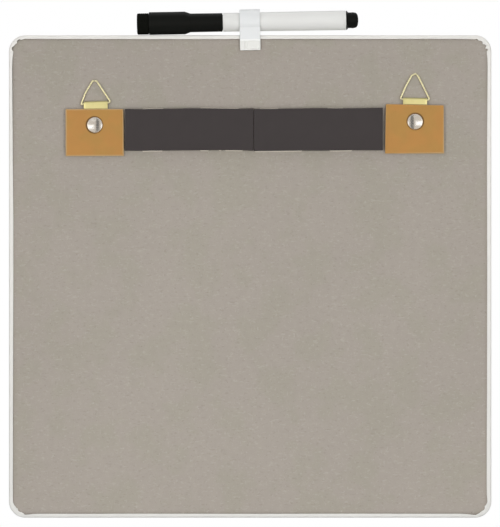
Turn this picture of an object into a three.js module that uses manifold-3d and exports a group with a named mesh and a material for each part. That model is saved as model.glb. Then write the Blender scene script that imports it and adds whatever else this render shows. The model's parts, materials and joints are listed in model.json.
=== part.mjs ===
// Magnetic whiteboard with wall hangers, magnet strips and a marker clipped to its top edge.
// Millimetres. Seen from the back, +X is right and +Z is up; the back faces -Y, the writing face +Y.
// The origin lies on the magnet strips' outer face, on the board's centre line.
import * as THREE from 'three';
import { mergeVertices } from 'three/addons/utils/BufferGeometryUtils.js';
import Module from 'manifold-3d';

// Board: sheet steel folded round a panel
const boardWidth = 279.4;
const boardHeight = 279.4;
const boardThickness = 8;
const cornerRadius = 9.5;
const sheetThickness = 0.4;
const frontBend = 1;
const rearBend = 1;
const lipWidth = 2.4;
const pleatReach = 0.9;
const pleatHeight = 0.3;
const backingThickness = 2;
const rollWidth = 3.4;
const rollDepth = 0.9;
const panelClearance = 0.3;

// Width of the folded lip at the start, middle and end of each side, against its usual width
const lipShares = [
  [1.16, 1.07, 0.92],
  [0.94, 0.94, 0.94],
  [0.76, 1.07, 0.87],
  [0.98, 1, 1],
];
const pleatsPerCorner = 6;
const stepsPerPleat = 3;
const sideSteps = 4;

// Magnet strips and their tape
const magnetRowRise = 85;
const magnetHeight = 24.6;
const magnetThickness = 3.2;
const leftMagnetLength = 74.6;
const rightMagnetLength = 73.4;
const seamOffset = 1.9;
const seamGap = 0.35;
const tapeThickness = 0.8;
const tapeOverhang = 0.3;
const rightMagnetTilt = 0.5;

// Hangers
const leftPlateWidth = 33.6;
const rightPlateWidth = 34.4;
const leftPlateHeight = 28.1;
const rightPlateHeight = 29;
const plateThickness = 1.2;
const plateCorner = 0.5;
const leftPlateGap = 0.5;
const rightPlateGap = 2.6;
const leftRivetRise = 2.6;
const rightRivetRise = 4.6;
const rivetDrop = 9.4;
const leftPlateTilt = 1;
const rightPlateTilt = -1;
const leftStrapTilt = 3.4;
const rightStrapTilt = -1.6;
const leftStrapShift = 1.1;
const rightStrapShift = -0.45;
const padInset = 0.4;
const padSlotMargin = 1.5;
const strapWidth = 14.2;
const strapThickness = 0.35;
const strapFold = 0.1;
const strapReach = 13.7;
const strapTail = 4.4;
const strapRun = 0.45;
const barClearance = 0.28;
const barStandoff = 1.4;

// Triangle rings
const wireDiameter = 1.2;
const ringWidth = 17;
const leftRingHeight = 13.8;
const rightRingHeight = 15.5;
const ringCornerBend = 1;
const ringApexBend = 1.3;
const ringJointGap = 0.35;
const ringRest = 0.3;

// Rivets
const rivetCapRadius = 4.75;
const rivetCapHeight = 1.4;
const rivetCapEdge = 0.35;
const rivetSocketDepth = 0.7;
const postRadius = 1.5;
const postClearance = 0.15;
const postFlangeRadius = 3.8;
const postFlangeThickness = 0.4;

// Clip
const clipWidth = 11.8;
const clipBore = 11.6;
const clipRingWall = 1.45;
const clipAxisRise = 8;
const clipLegWall = 1.3;
const clipGrip = 0.2;
const clipPinchDrop = 3;
const clipTabDrop = 8.9;
const clipTabFlare = 0.9;
const clipLegAngle = 30;
const clipEdge = 0.15;

// Marker, placed from the cap's rim along its axis
const markerTilt = 0.95;
const capRimOffset = 16.1;
const capLength = 42.6;
const capRimRadius = 5.38;
const capNeckLength = 18.4;
const capNeckRadius = 5.42;
const capTaperLength = 2.2;
const capBodyRadius = 6.5;
const capEdge = 0.3;
const capBoreRadius = 4.55;
const capWallSpan = 1.1;
const capPartitionDepth = 26;
const capPartitionThickness = 1.2;
const capSleeveRadius = 3.25;
const capSleeveWall = 0.75;
const capSleeveStart = 12.8;
const capSocketRadius = 5.55;
const feltLength = 6.6;
const feltRadius = 5.95;
const feltEdge = 0.5;
const feltClearance = 0.25;
const barrelLength = 71.3;
const barrelFrontRadius = 5.4;
const barrelRearRadius = 5.69;
const barrelBoreRadius = 4.5;
const barrelEdge = 0.25;
const markerGap = 0.3;
const sectionInsert = 9;
const sectionSeat = 6.5;
const sectionConeLength = 5.5;
const sectionNoseLength = 3;
const sectionNoseRadius = 3;
const sectionFit = 0.1;
const nibRadius = 2;
const nibReach = 5.5;
const nibTipLength = 2.5;
const nibClearance = 0.15;
const nibHeel = 2;
const reservoirRadius = 3.4;
const reservoirSocket = 3.6;
const reservoirLength = 60;
const reservoirEdge = 0.4;
const plugShoulder = 1;
const plugRadius = 4.52;
const plugBodyLength = 3;
const plugDomeLength = 2.7;
const plugBead = 0.13;
const plugStemLength = 7;
const plugStemWall = 0.9;

// How finely the round forms are faceted
const markerSides = 36;
const rivetSides = 28;
const wireSides = 8;
const arcSteps = 6;
const bendSteps = 2;

// Places that follow from the sizes
const backY = magnetThickness + tapeThickness;
const frontY = backY + boardThickness;
const middleY = backY + boardThickness / 2;
const sheetBackY = backY + sheetThickness;
const sheetFrontY = frontY - sheetThickness;
const padThickness = postFlangeThickness + 2 * strapThickness + strapFold;
const wireRadius = wireDiameter / 2;

const finishes = {
  paintedSteel: { color: 0xe8e7e2, roughness: 0.4, metalness: 0 },
  fibreboard: { color: 0x8a6f4d, roughness: 0.9, metalness: 0 },
  chipboard: { color: 0xa8a197, roughness: 0.9, metalness: 0 },
  hardboard: { color: 0xb5894e, roughness: 0.7, metalness: 0 },
  foam: { color: 0xe6e2d6, roughness: 0.9, metalness: 0 },
  brass: { color: 0xe2d798, roughness: 0.3, metalness: 1 },
  nickel: { color: 0xc8c4bc, roughness: 0.15, metalness: 1 },
  magnet: { color: 0x44403f, roughness: 0.8, metalness: 0 },
  tape: { color: 0xe0dacb, roughness: 0.8, metalness: 0 },
  clearWhite: { color: 0xe7eae9, roughness: 0.35, metalness: 0 },
  barrelWhite: { color: 0xdfdfdc, roughness: 0.35, metalness: 0 },
  blackPlastic: { color: 0x1b1b19, roughness: 0.45, metalness: 0 },
  felt: { color: 0x121310, roughness: 1, metalness: 0 },
  fibre: { color: 0xd8d4c8, roughness: 1, metalness: 0 },
};

const wasm = await Module();
wasm.setup();

// A clean closed mesh with merged corners, no slivers of zero area, and its faces pointing out
function closed(geometry) {
  const bare = geometry.clone();
  bare.deleteAttribute('normal');
  bare.deleteAttribute('uv');
  const merged = mergeVertices(bare);
  const place = merged.getAttribute('position');
  const corners = [...merged.getIndex().array];
  const faces = [];
  for (let i = 0; i < corners.length; i += 3) {
    const [a, b, c] = corners.slice(i, i + 3);
    if (a !== b && b !== c && c !== a) faces.push([a, b, c]);
  }
  const point = (i) => new THREE.Vector3().fromBufferAttribute(place, i);
  const volume = faces.reduce((sum, [a, b, c]) => sum + point(a).dot(point(b).cross(point(c))), 0);
  merged.setIndex(faces.flatMap(([a, b, c]) => (volume < 0 ? [a, c, b] : [a, b, c])));
  return merged;
}

function toManifold(geometry) {
  const mesh = closed(geometry);
  return new wasm.Manifold(new wasm.Mesh({
    numProp: 3,
    vertProperties: mesh.getAttribute('position').array,
    triVerts: new Uint32Array(mesh.getIndex().array),
  }));
}

function fromManifold(manifold) {
  const mesh = manifold.getMesh();
  const geometry = new THREE.BufferGeometry();
  geometry.setAttribute('position', new THREE.BufferAttribute(mesh.vertProperties, mesh.numProp));
  geometry.setIndex(new THREE.BufferAttribute(mesh.triVerts, 1));
  return geometry;
}

function cut(geometry, tool) {
  return fromManifold(toManifold(geometry).subtract(toManifold(tool)));
}

function addPiece(parent, name, geometry, finish) {
  const body = closed(geometry);
  body.computeVertexNormals();
  const mesh = new THREE.Mesh(body, new THREE.MeshStandardMaterial(finish));
  mesh.name = name;
  parent.add(mesh);
  return mesh;
}

function addGroup(parent, x, y, z) {
  const group = new THREE.Group();
  group.position.set(x, y, z);
  parent.add(group);
  return group;
}

// Turn a group in the board's plane, counter-clockwise as seen from behind
function tilt(group, degrees) {
  group.rotation.y = -THREE.MathUtils.degToRad(degrees);
}

// Points on an arc, from one angle to another, in degrees
function arc(x, y, radius, from, to, steps = arcSteps) {
  const points = [];
  for (let i = 0; i <= steps; i++) {
    const angle = THREE.MathUtils.degToRad(from + ((to - from) * i) / steps);
    points.push(new THREE.Vector2(x + radius * Math.cos(angle), y + radius * Math.sin(angle)));
  }
  return points;
}

// A plate drawn in the board's plane, with its inner face at y = 0 and its outer face behind
function slab(shape, thickness) {
  const geometry = new THREE.ExtrudeGeometry(shape, { depth: thickness, bevelEnabled: false });
  return geometry.rotateX(Math.PI / 2);
}

// A side profile, drawn as (y, z), carried along X and centred on it
function bar(shape, width, edge = 0) {
  const geometry = new THREE.ExtrudeGeometry(shape, {
    depth: width - 2 * edge,
    bevelEnabled: edge > 0,
    bevelThickness: edge,
    bevelSize: edge,
    bevelOffset: -edge,
    bevelSegments: 1,
    curveSegments: arcSteps * 2,
  });
  geometry.translate(0, 0, edge - width / 2);
  const alongX = new THREE.Matrix4().makeBasis(
    new THREE.Vector3(0, 1, 0),
    new THREE.Vector3(0, 0, 1),
    new THREE.Vector3(1, 0, 0),
  );
  return geometry.applyMatrix4(alongX);
}

// A profile of (radius, place along the axis) turned round the Y axis
function revolve(profile, sides) {
  return new THREE.LatheGeometry(profile.map(([r, along]) => new THREE.Vector2(r, along)), sides);
}

// The same, with its axis laid along X
function turned(profile) {
  return revolve(profile, markerSides).rotateZ(-Math.PI / 2);
}

// A closed skin over a row of outlines with equal numbers of points; flatten gives an end as a plane figure
function skin(rings, flatten) {
  const count = rings[0].length;
  const indices = [];
  for (let ring = 0; ring < rings.length - 1; ring++) {
    for (let i = 0; i < count; i++) {
      const a = ring * count + i;
      const b = ring * count + ((i + 1) % count);
      indices.push(a, b, b + count, a, b + count, a + count);
    }
  }
  const addCap = (ring, start) => {
    const outline = rings[ring].map(flatten);
    const winding = Math.sign(THREE.ShapeUtils.area(outline));
    for (const [a, b, c] of THREE.ShapeUtils.triangulateShape(outline, [])) {
      const turn = Math.sign(THREE.ShapeUtils.area([outline[a], outline[b], outline[c]]));
      const face = turn === winding ? [a, b, c] : [a, c, b];
      const facing = start ? [...face].reverse() : face;
      indices.push(...facing.map((i) => i + ring * count));
    }
  };
  addCap(0, true);
  addCap(rings.length - 1, false);
  const geometry = new THREE.BufferGeometry();
  const places = rings.flat().flatMap((point) => [point.x, point.y, point.z]);
  geometry.setAttribute('position', new THREE.Float32BufferAttribute(places, 3));
  geometry.setIndex(indices);
  return geometry;
}

function rectangle(width, height, corner = 0) {
  const x = width / 2;
  const z = height / 2;
  const shape = new THREE.Shape();
  shape.moveTo(x - corner, -z);
  shape.lineTo(x, -z + corner);
  shape.lineTo(x, z - corner);
  shape.lineTo(x - corner, z);
  shape.lineTo(-x + corner, z);
  shape.lineTo(-x, z - corner);
  shape.lineTo(-x, -z + corner);
  shape.lineTo(-x + corner, -z);
  shape.closePath();
  return shape;
}

// Stations round the board's edge: each side and the corner after it, starting up the right side.
// share is the lip's width there, and fold rises along each pleat and drops at its end.
function edgeStations() {
  const stations = [];
  const cornerSteps = pleatsPerCorner * stepsPerPleat;
  for (let side = 0; side < 4; side++) {
    const [start, middle, end] = lipShares[side];
    const next = lipShares[(side + 1) % 4][0];
    for (let i = 0; i < sideSteps; i++) {
      const t = i / sideSteps;
      const share = start * (1 - t) * (1 - 2 * t) + 4 * middle * t * (1 - t) + end * t * (2 * t - 1);
      stations.push({ side, along: t, turn: 0, share, fold: 0, corner: 0 });
    }
    for (let i = 0; i <= cornerSteps; i++) {
      const turn = i / cornerSteps;
      const rise = (i % stepsPerPleat) / (stepsPerPleat - 1);
      const share = end + (next - end) * turn;
      const corner = Math.min(1, 2 * Math.sin(Math.PI * turn));
      stations.push({ side, along: 1, turn, share, fold: rise, corner });
    }
  }
  return stations.filter((station) => station.turn < 1);
}
const stations = edgeStations();

// One outline round the board: inset and y are worked out for each station
function edgeRing(insetAt, yAt) {
  return stations.map((station) => {
    const inset = insetAt(station);
    const straightX = boardWidth / 2 - cornerRadius;
    const straightZ = boardHeight / 2 - cornerRadius;
    const start = station.side * 90;
    const centre = [[1, -1, 1, 1], [1, 1, -1, 1], [-1, 1, -1, -1], [-1, -1, 1, -1]][station.side];
    const x = straightX * (centre[0] + (centre[2] - centre[0]) * station.along);
    const z = straightZ * (centre[1] + (centre[3] - centre[1]) * station.along);
    const angle = THREE.MathUtils.degToRad(start + 90 * station.turn);
    const radius = cornerRadius - inset;
    return new THREE.Vector3(x + radius * Math.cos(angle), yAt(station), z + radius * Math.sin(angle));
  });
}

// A ring that keeps one inset and one y all round
function plainRing(inset, y) {
  return edgeRing(() => inset, () => y);
}

const inBoardPlane = (point) => new THREE.Vector2(point.x, point.z);
const lipReach = (station) => lipWidth * station.share;
const pleatedReach = (station) => lipReach(station) + pleatReach * (station.fold - 0.5) * station.corner;
const pleatLift = (station) => pleatHeight * station.fold * station.corner;

// The quarter bend from the front or rear face into the side, as (inset, depth from the face)
function bend(radius, offset = 0) {
  return arc(radius, radius, radius - offset, 270, 180, bendSteps).map((point) => [point.x, point.y]);
}

function faceSheet() {
  const rings = [];
  for (const [inset, depth] of bend(frontBend)) rings.push(plainRing(inset, frontY - depth));
  for (const [inset, depth] of bend(rearBend).reverse()) rings.push(plainRing(inset, backY + depth));
  const halfReach = (station) => (rearBend + pleatedReach(station)) / 2;
  rings.push(edgeRing(halfReach, (station) => backY - pleatLift(station)));
  rings.push(edgeRing(pleatedReach, (station) => backY - pleatLift(station) / 2));
  rings.push(edgeRing(pleatedReach, (station) => sheetBackY - pleatLift(station) / 2));
  rings.push(edgeRing(halfReach, (station) => sheetBackY - pleatLift(station)));
  for (const [inset, depth] of bend(rearBend, sheetThickness)) rings.push(plainRing(inset, backY + depth));
  for (const [inset, depth] of bend(frontBend, sheetThickness).reverse()) {
    rings.push(plainRing(inset, frontY - depth));
  }
  return skin(rings, inBoardPlane);
}

function corePanel() {
  const side = sheetThickness + panelClearance;
  return skin([
    plainRing(side, backY + backingThickness),
    plainRing(side, frontY - frontBend - panelClearance),
    plainRing(frontBend + panelClearance, sheetFrontY),
  ], inBoardPlane);
}

function backingBoard() {
  const side = sheetThickness + panelClearance;
  const rings = [
    plainRing(side, backY + backingThickness),
    plainRing(side, backY + rollDepth),
  ];
  const rollShares = [[0, 1], [0.35, 0.55], [0.7, 0.14], [1, 0]];
  for (const [across, down] of rollShares) {
    rings.push(edgeRing((station) => lipReach(station) + rollWidth * across, () => backY + rollDepth * down));
  }
  return skin(rings, inBoardPlane);
}

// A strip of even thickness along a line of points, as a closed outline
function ribbon(line, thickness) {
  const sides = [[], []];
  line.forEach((point, i) => {
    const before = line[Math.max(i - 1, 0)];
    const after = line[Math.min(i + 1, line.length - 1)];
    const run = after.clone().sub(before).normalize();
    const normal = new THREE.Vector2(-run.y, run.x).multiplyScalar(thickness / 2);
    sides[0].push(point.clone().add(normal));
    sides[1].unshift(point.clone().sub(normal));
  });
  return new THREE.Shape([...sides[0], ...sides[1]]);
}

// The brass strip: up behind, round the ring's bar and down again, as (-distance from the backing, z).
// Its middle lies shift to the side of the rivet, whose hole it is cut for.
function strap(shift) {
  const barZ = strapReach - strapThickness - barClearance - wireRadius;
  const loopRadius = wireRadius + barClearance + strapThickness / 2;
  const loop = new THREE.Vector2(-barStandoff, barZ);
  const rearY = -(postFlangeThickness + strapThickness / 2);
  const frontTailY = rearY - strapThickness - strapFold;
  const leaveZ = rivetDrop + strapRun;
  const touch = (y, side) => {
    const away = new THREE.Vector2(y, leaveZ).sub(loop);
    const swing = Math.acos(loopRadius / away.length());
    return THREE.MathUtils.radToDeg(away.angle() + side * swing);
  };
  const line = [
    new THREE.Vector2(rearY, -strapTail),
    new THREE.Vector2(rearY, leaveZ),
    ...arc(loop.x, loop.y, loopRadius, touch(rearY, 1) - 360, touch(frontTailY, -1), arcSteps * 3),
    new THREE.Vector2(frontTailY, leaveZ),
    new THREE.Vector2(frontTailY, -strapTail),
  ];
  const hole = new THREE.CylinderGeometry(
    postRadius + postClearance,
    postRadius + postClearance,
    2 * padThickness,
    rivetSides,
  );
  return cut(bar(ribbon(line, strapThickness), strapWidth), hole.translate(-shift, -padThickness / 2, 0));
}

// The wire's centre line, from one end at the apex round to the other, as (x, z) with the bar at z = 0
function ringLine(height) {
  const top = height - wireRadius;
  const corner = new THREE.Vector2(-(ringWidth / 2 - wireRadius - ringCornerBend), ringCornerBend);
  const apex = new THREE.Vector2(0, top - ringApexBend);
  const span = apex.clone().sub(corner);
  const lean = Math.atan2(span.x, span.y);
  const legAngle = 90 + THREE.MathUtils.radToDeg(
    Math.acos((ringCornerBend - ringApexBend) / span.length()) - lean,
  );
  const endAngle = 90 + THREE.MathUtils.radToDeg(Math.asin(ringJointGap / 2 / ringApexBend));
  const left = [
    ...arc(apex.x, apex.y, ringApexBend, endAngle, legAngle, arcSteps / 2),
    ...arc(corner.x, corner.y, ringCornerBend, legAngle, 270, arcSteps),
  ];
  const right = left.map((point) => new THREE.Vector2(-point.x, point.y)).reverse();
  return [...left, ...right];
}

function triangleRing(height) {
  const line = ringLine(height);
  const sections = line.map((point, i) => {
    const before = line[Math.max(i - 1, 0)];
    const after = line[Math.min(i + 1, line.length - 1)];
    const run = after.clone().sub(before).normalize();
    return arc(0, 0, wireRadius, 0, 360, wireSides).slice(0, wireSides).map((round) => new THREE.Vector3(
      point.x - run.y * round.x,
      round.y,
      point.y + run.x * round.x,
    ));
  });
  return skin(sections, (point) => new THREE.Vector2(point.y, point.z));
}

// The pad's outline is a U, open at the top where the strap comes out
function padShape(width, height) {
  const x = width / 2 - padInset;
  const z = height / 2 - padInset;
  const slot = strapWidth / 2 + padSlotMargin;
  const slotEnd = height / 2 - rivetDrop - strapTail - padSlotMargin;
  return new THREE.Shape([
    new THREE.Vector2(-x, -z),
    new THREE.Vector2(x, -z),
    new THREE.Vector2(x, z),
    new THREE.Vector2(slot, z),
    new THREE.Vector2(slot, slotEnd),
    new THREE.Vector2(-slot, slotEnd),
    new THREE.Vector2(-slot, z),
    new THREE.Vector2(-x, z),
  ]);
}

function plateShape(width, height) {
  const shape = rectangle(width, height, plateCorner);
  const hole = new THREE.Path();
  hole.absarc(0, height / 2 - rivetDrop, postRadius + postClearance, 0, 2 * Math.PI);
  shape.holes.push(hole);
  return shape;
}

function rivetCap() {
  const socket = postRadius + postClearance;
  const rise = rivetCapHeight - rivetCapEdge;
  const domeRadius = (rivetCapRadius ** 2 + rise ** 2) / (2 * rise);
  const half = THREE.MathUtils.radToDeg(Math.asin(rivetCapRadius / domeRadius));
  const dome = arc(0, domeRadius - rivetCapHeight, domeRadius, half - 90, -90, arcSteps);
  return revolve([
    [0, -rivetSocketDepth],
    [socket, -rivetSocketDepth],
    [socket, 0],
    [rivetCapRadius, 0],
    ...dome.slice(0, -1).map((point) => [point.x, point.y]),
    [0, -rivetCapHeight],
  ], rivetSides);
}

function rivetPost() {
  const reach = padThickness + plateThickness + rivetSocketDepth - postClearance;
  return revolve([
    [0, 0],
    [postFlangeRadius, 0],
    [postFlangeRadius, -postFlangeThickness + postClearance],
    [postRadius, -postFlangeThickness + postClearance],
    [postRadius, -reach],
    [0, -reach],
  ], rivetSides);
}

const whiteboard = new THREE.Group();
whiteboard.name = 'magnetic_whiteboard';

// Board
const board = addGroup(whiteboard, 0, 0, -magnetRowRise);
addPiece(board, 'face_sheet', faceSheet(), finishes.paintedSteel);
addPiece(board, 'core_panel', corePanel(), finishes.fibreboard);
addPiece(board, 'backing_board', backingBoard(), finishes.chipboard);

// Magnet strips
const magnets = [
  {
    side: 'left',
    length: leftMagnetLength,
    x: seamOffset - leftMagnetLength / 2,
    tilt: 0,
  },
  {
    side: 'right',
    length: rightMagnetLength,
    x: seamOffset + seamGap + rightMagnetLength / 2,
    tilt: rightMagnetTilt,
  },
];
for (const magnet of magnets) {
  const strip = addGroup(whiteboard, magnet.x, 0, 0);
  tilt(strip, magnet.tilt);
  const magnetPlate = slab(rectangle(magnet.length, magnetHeight), magnetThickness);
  const tapePlate = slab(rectangle(magnet.length, magnetHeight + 2 * tapeOverhang), tapeThickness);
  addPiece(strip, `magnet_strip_${magnet.side}`, magnetPlate, finishes.magnet).position.y = magnetThickness;
  addPiece(strip, `magnet_tape_${magnet.side}`, tapePlate, finishes.tape).position.y = backY;
}

// Hangers, each built round its rivet
const hangers = [
  {
    side: 'left',
    x: seamOffset - leftMagnetLength - leftPlateGap - leftPlateWidth / 2,
    z: leftRivetRise,
    width: leftPlateWidth,
    height: leftPlateHeight,
    plateTilt: leftPlateTilt,
    strapTilt: leftStrapTilt,
    strapShift: leftStrapShift,
    ringHeight: leftRingHeight,
  },
  {
    side: 'right',
    x: seamOffset + seamGap + rightMagnetLength + rightPlateGap + rightPlateWidth / 2,
    z: rightRivetRise,
    width: rightPlateWidth,
    height: rightPlateHeight,
    plateTilt: rightPlateTilt,
    strapTilt: rightStrapTilt,
    strapShift: rightStrapShift,
    ringHeight: rightRingHeight,
  },
];
for (const hanger of hangers) {
  const { side, width, height, strapShift } = hanger;
  const plateY = -padThickness;
  const plates = addGroup(whiteboard, hanger.x, backY, hanger.z);
  tilt(plates, hanger.plateTilt);
  const centreZ = rivetDrop - height / 2;
  const pad = slab(padShape(width, height), padThickness);
  const plate = slab(plateShape(width, height), plateThickness);
  addPiece(plates, `hanger_pad_${side}`, pad, finishes.foam).position.set(0, 0, centreZ);
  addPiece(plates, `hanger_plate_${side}`, plate, finishes.hardboard).position.set(0, plateY, centreZ);

  const fitting = addGroup(whiteboard, hanger.x, backY, hanger.z);
  tilt(fitting, hanger.strapTilt);
  addPiece(fitting, `hanger_strap_${side}`, strap(strapShift), finishes.brass).position.x = strapShift;
  addPiece(fitting, `rivet_post_${side}`, rivetPost(), finishes.nickel);
  addPiece(fitting, `rivet_cap_${side}`, rivetCap(), finishes.nickel).position.y = plateY - plateThickness;

  const barZ = strapReach - strapThickness - barClearance - wireRadius;
  const swing = addGroup(fitting, strapShift, -barStandoff, barZ);
  const lean = Math.asin((barStandoff - wireRadius - ringRest) / (hanger.ringHeight - wireRadius));
  swing.rotation.x = -lean;
  addPiece(swing, `hanger_ring_${side}`, triangleRing(hanger.ringHeight), finishes.brass);
}

// Clip profile, half of it mirrored; z is measured from the board's top edge
function clipShape() {
  const boreRadius = clipBore / 2;
  const ringRadius = boreRadius + clipRingWall;
  const pinchIn = boardThickness / 2 + clipGrip;
  const pinchOut = pinchIn + clipLegWall;
  const tabOut = pinchOut + clipTabFlare;
  const leave = THREE.MathUtils.degToRad(-clipLegAngle);
  const legTop = new THREE.Vector2(ringRadius * Math.cos(leave), clipAxisRise + ringRadius * Math.sin(leave));
  const slope = (legTop.x - pinchOut) / (legTop.y + clipPinchDrop);
  // Where the leg's inner face, carried up, meets the ring
  const base = pinchIn + slope * (clipPinchDrop + clipAxisRise);
  const a = 1 + slope ** 2;
  const drop = (base * slope + Math.sqrt(a * ringRadius ** 2 - base ** 2)) / a;
  const roofX = base - slope * drop;
  const roofAngle = THREE.MathUtils.radToDeg(Math.atan2(-drop, roofX));
  const half = [
    ...arc(0, clipAxisRise, ringRadius, -90, roofAngle, arcSteps / 2),
    new THREE.Vector2(pinchIn, -clipPinchDrop),
    new THREE.Vector2(tabOut - clipLegWall, -clipTabDrop),
    new THREE.Vector2(tabOut, -clipTabDrop),
    new THREE.Vector2(pinchOut, -clipPinchDrop),
    ...arc(0, clipAxisRise, ringRadius, -clipLegAngle, 90, arcSteps * 2),
  ];
  const mirrored = half.slice(1, -1).map((point) => new THREE.Vector2(-point.x, point.y)).reverse();
  const shape = new THREE.Shape([...half, ...mirrored]);
  const bore = new THREE.Path();
  bore.absarc(0, clipAxisRise, boreRadius, 0, 2 * Math.PI);
  shape.holes.push(bore);
  return shape;
}

// The clip leans with the marker that it holds, about the middle of its bore
const topEdge = addGroup(board, 0, middleY, boardHeight / 2);
const markerLine = addGroup(topEdge, 0, 0, clipAxisRise);
tilt(markerLine, markerTilt);
const clipPlace = addGroup(markerLine, 0, 0, -clipAxisRise);
addPiece(clipPlace, 'marker_clip', bar(clipShape(), clipWidth, clipEdge), finishes.clearWhite);

// Marker: profiles are (radius, place along the axis), with the cap's rim at zero and the cap at minus
const marker = addGroup(markerLine, -capRimOffset, 0, 0);
const barrelStart = markerGap;
const barrelEnd = barrelStart + barrelLength;
const sectionEnd = barrelStart + sectionInsert;
const noseStart = -(sectionSeat + sectionConeLength);
const noseEnd = noseStart - sectionNoseLength;
const plugStart = barrelEnd + markerGap;
const partition = -capPartitionDepth;
const socketFloor = partition - capPartitionThickness;

function barrel() {
  return turned([
    [barrelBoreRadius, barrelStart],
    [barrelFrontRadius - barrelEdge, barrelStart],
    [barrelFrontRadius, barrelStart + barrelEdge],
    [barrelRearRadius, barrelEnd - barrelEdge],
    [barrelRearRadius - barrelEdge, barrelEnd],
    [barrelBoreRadius, barrelEnd],
    [barrelBoreRadius, barrelStart],
  ]);
}

function endPlug() {
  const stem = barrelBoreRadius - sectionFit;
  const bodyStart = plugStart + plugShoulder;
  const bodyEnd = bodyStart + plugBodyLength;
  const domeShares = [[0.99, 0.25], [0.93, 0.5], [0.82, 0.72], [0.64, 0.88], [0.4, 0.97]];
  return turned([
    [0, plugStart],
    [stem - plugStemWall, plugStart],
    [stem - plugStemWall, plugStart - plugStemLength],
    [stem, plugStart - plugStemLength],
    [stem, plugStart],
    [barrelRearRadius - sectionFit, plugStart],
    [plugRadius, bodyStart],
    [plugRadius, bodyEnd - plugShoulder],
    [plugRadius + plugBead, bodyEnd],
    ...domeShares.map(([out, along]) => [plugRadius * out, bodyEnd + plugDomeLength * along]),
    [0, bodyEnd + plugDomeLength],
  ]);
}

function nibSection() {
  const bore = nibRadius + nibClearance;
  return turned([
    [bore, nibHeel],
    [bore, noseEnd],
    [sectionNoseRadius, noseEnd],
    [sectionNoseRadius, noseStart],
    [barrelBoreRadius - 2 * sectionFit, -sectionSeat],
    [barrelBoreRadius - sectionFit, sectionEnd],
    [reservoirSocket, sectionEnd],
    [reservoirSocket, nibHeel],
    [bore, nibHeel],
  ]);
}

function nib() {
  const shoulder = noseEnd - nibReach + nibTipLength;
  const tipShares = [[0.97, 0.3], [0.84, 0.6], [0.6, 0.85]];
  return turned([
    [0, nibHeel],
    [nibRadius, nibHeel],
    [nibRadius, shoulder],
    ...tipShares.map(([out, along]) => [nibRadius * out, shoulder - nibTipLength * along]),
    [0, shoulder - nibTipLength],
  ]);
}

function reservoir() {
  const start = nibHeel + markerGap;
  const end = start + reservoirLength;
  return turned([
    [0, start],
    [reservoirRadius - reservoirEdge, start],
    [reservoirRadius, start + reservoirEdge],
    [reservoirRadius, end - reservoirEdge],
    [reservoirRadius - reservoirEdge, end],
    [0, end],
  ]);
}

function cap() {
  const taperEnd = -(capNeckLength + capTaperLength);
  const sleeveOut = capSleeveRadius + capSleeveWall;
  return turned([
    [0, partition],
    [capSleeveRadius, partition],
    [capSleeveRadius, -capSleeveStart],
    [sleeveOut, -capSleeveStart],
    [sleeveOut, partition],
    [capBodyRadius - capWallSpan, partition],
    [capBodyRadius - capWallSpan, taperEnd - capEdge],
    [capBoreRadius, -capNeckLength],
    [capBoreRadius, 0],
    [capRimRadius - capEdge, 0],
    [capRimRadius, -capEdge],
    [capNeckRadius, -capNeckLength],
    [capBodyRadius, taperEnd],
    [capBodyRadius, -capLength + capEdge],
    [capBodyRadius - capEdge, -capLength],
    [capSocketRadius, -capLength],
    [capSocketRadius, socketFloor],
    [0, socketFloor],
  ]);
}

function eraserFelt() {
  const collar = -capLength - feltClearance;
  const end = -capLength - feltLength;
  const stem = capSocketRadius - feltClearance;
  return turned([
    [0, socketFloor - feltClearance],
    [stem, socketFloor - feltClearance],
    [stem, collar],
    [feltRadius, collar],
    [feltRadius, end + feltEdge],
    [feltRadius - feltEdge, end],
    [0, end],
  ]);
}

addPiece(marker, 'marker_barrel', barrel(), finishes.barrelWhite);
addPiece(marker, 'barrel_end_plug', endPlug(), finishes.blackPlastic);
addPiece(marker, 'nib_section', nibSection(), finishes.blackPlastic);
addPiece(marker, 'marker_nib', nib(), finishes.fibre);
addPiece(marker, 'ink_reservoir', reservoir(), finishes.fibre);
addPiece(marker, 'marker_cap', cap(), finishes.blackPlastic);
addPiece(marker, 'eraser_felt', eraserFelt(), finishes.felt);

export default whiteboard;
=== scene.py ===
"""A small magnetic dry-erase board seen from its back, with ring hangers, magnet strips and a marker."""
import json
import math

import bmesh
import bpy
from mathutils import Matrix, Vector


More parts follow.
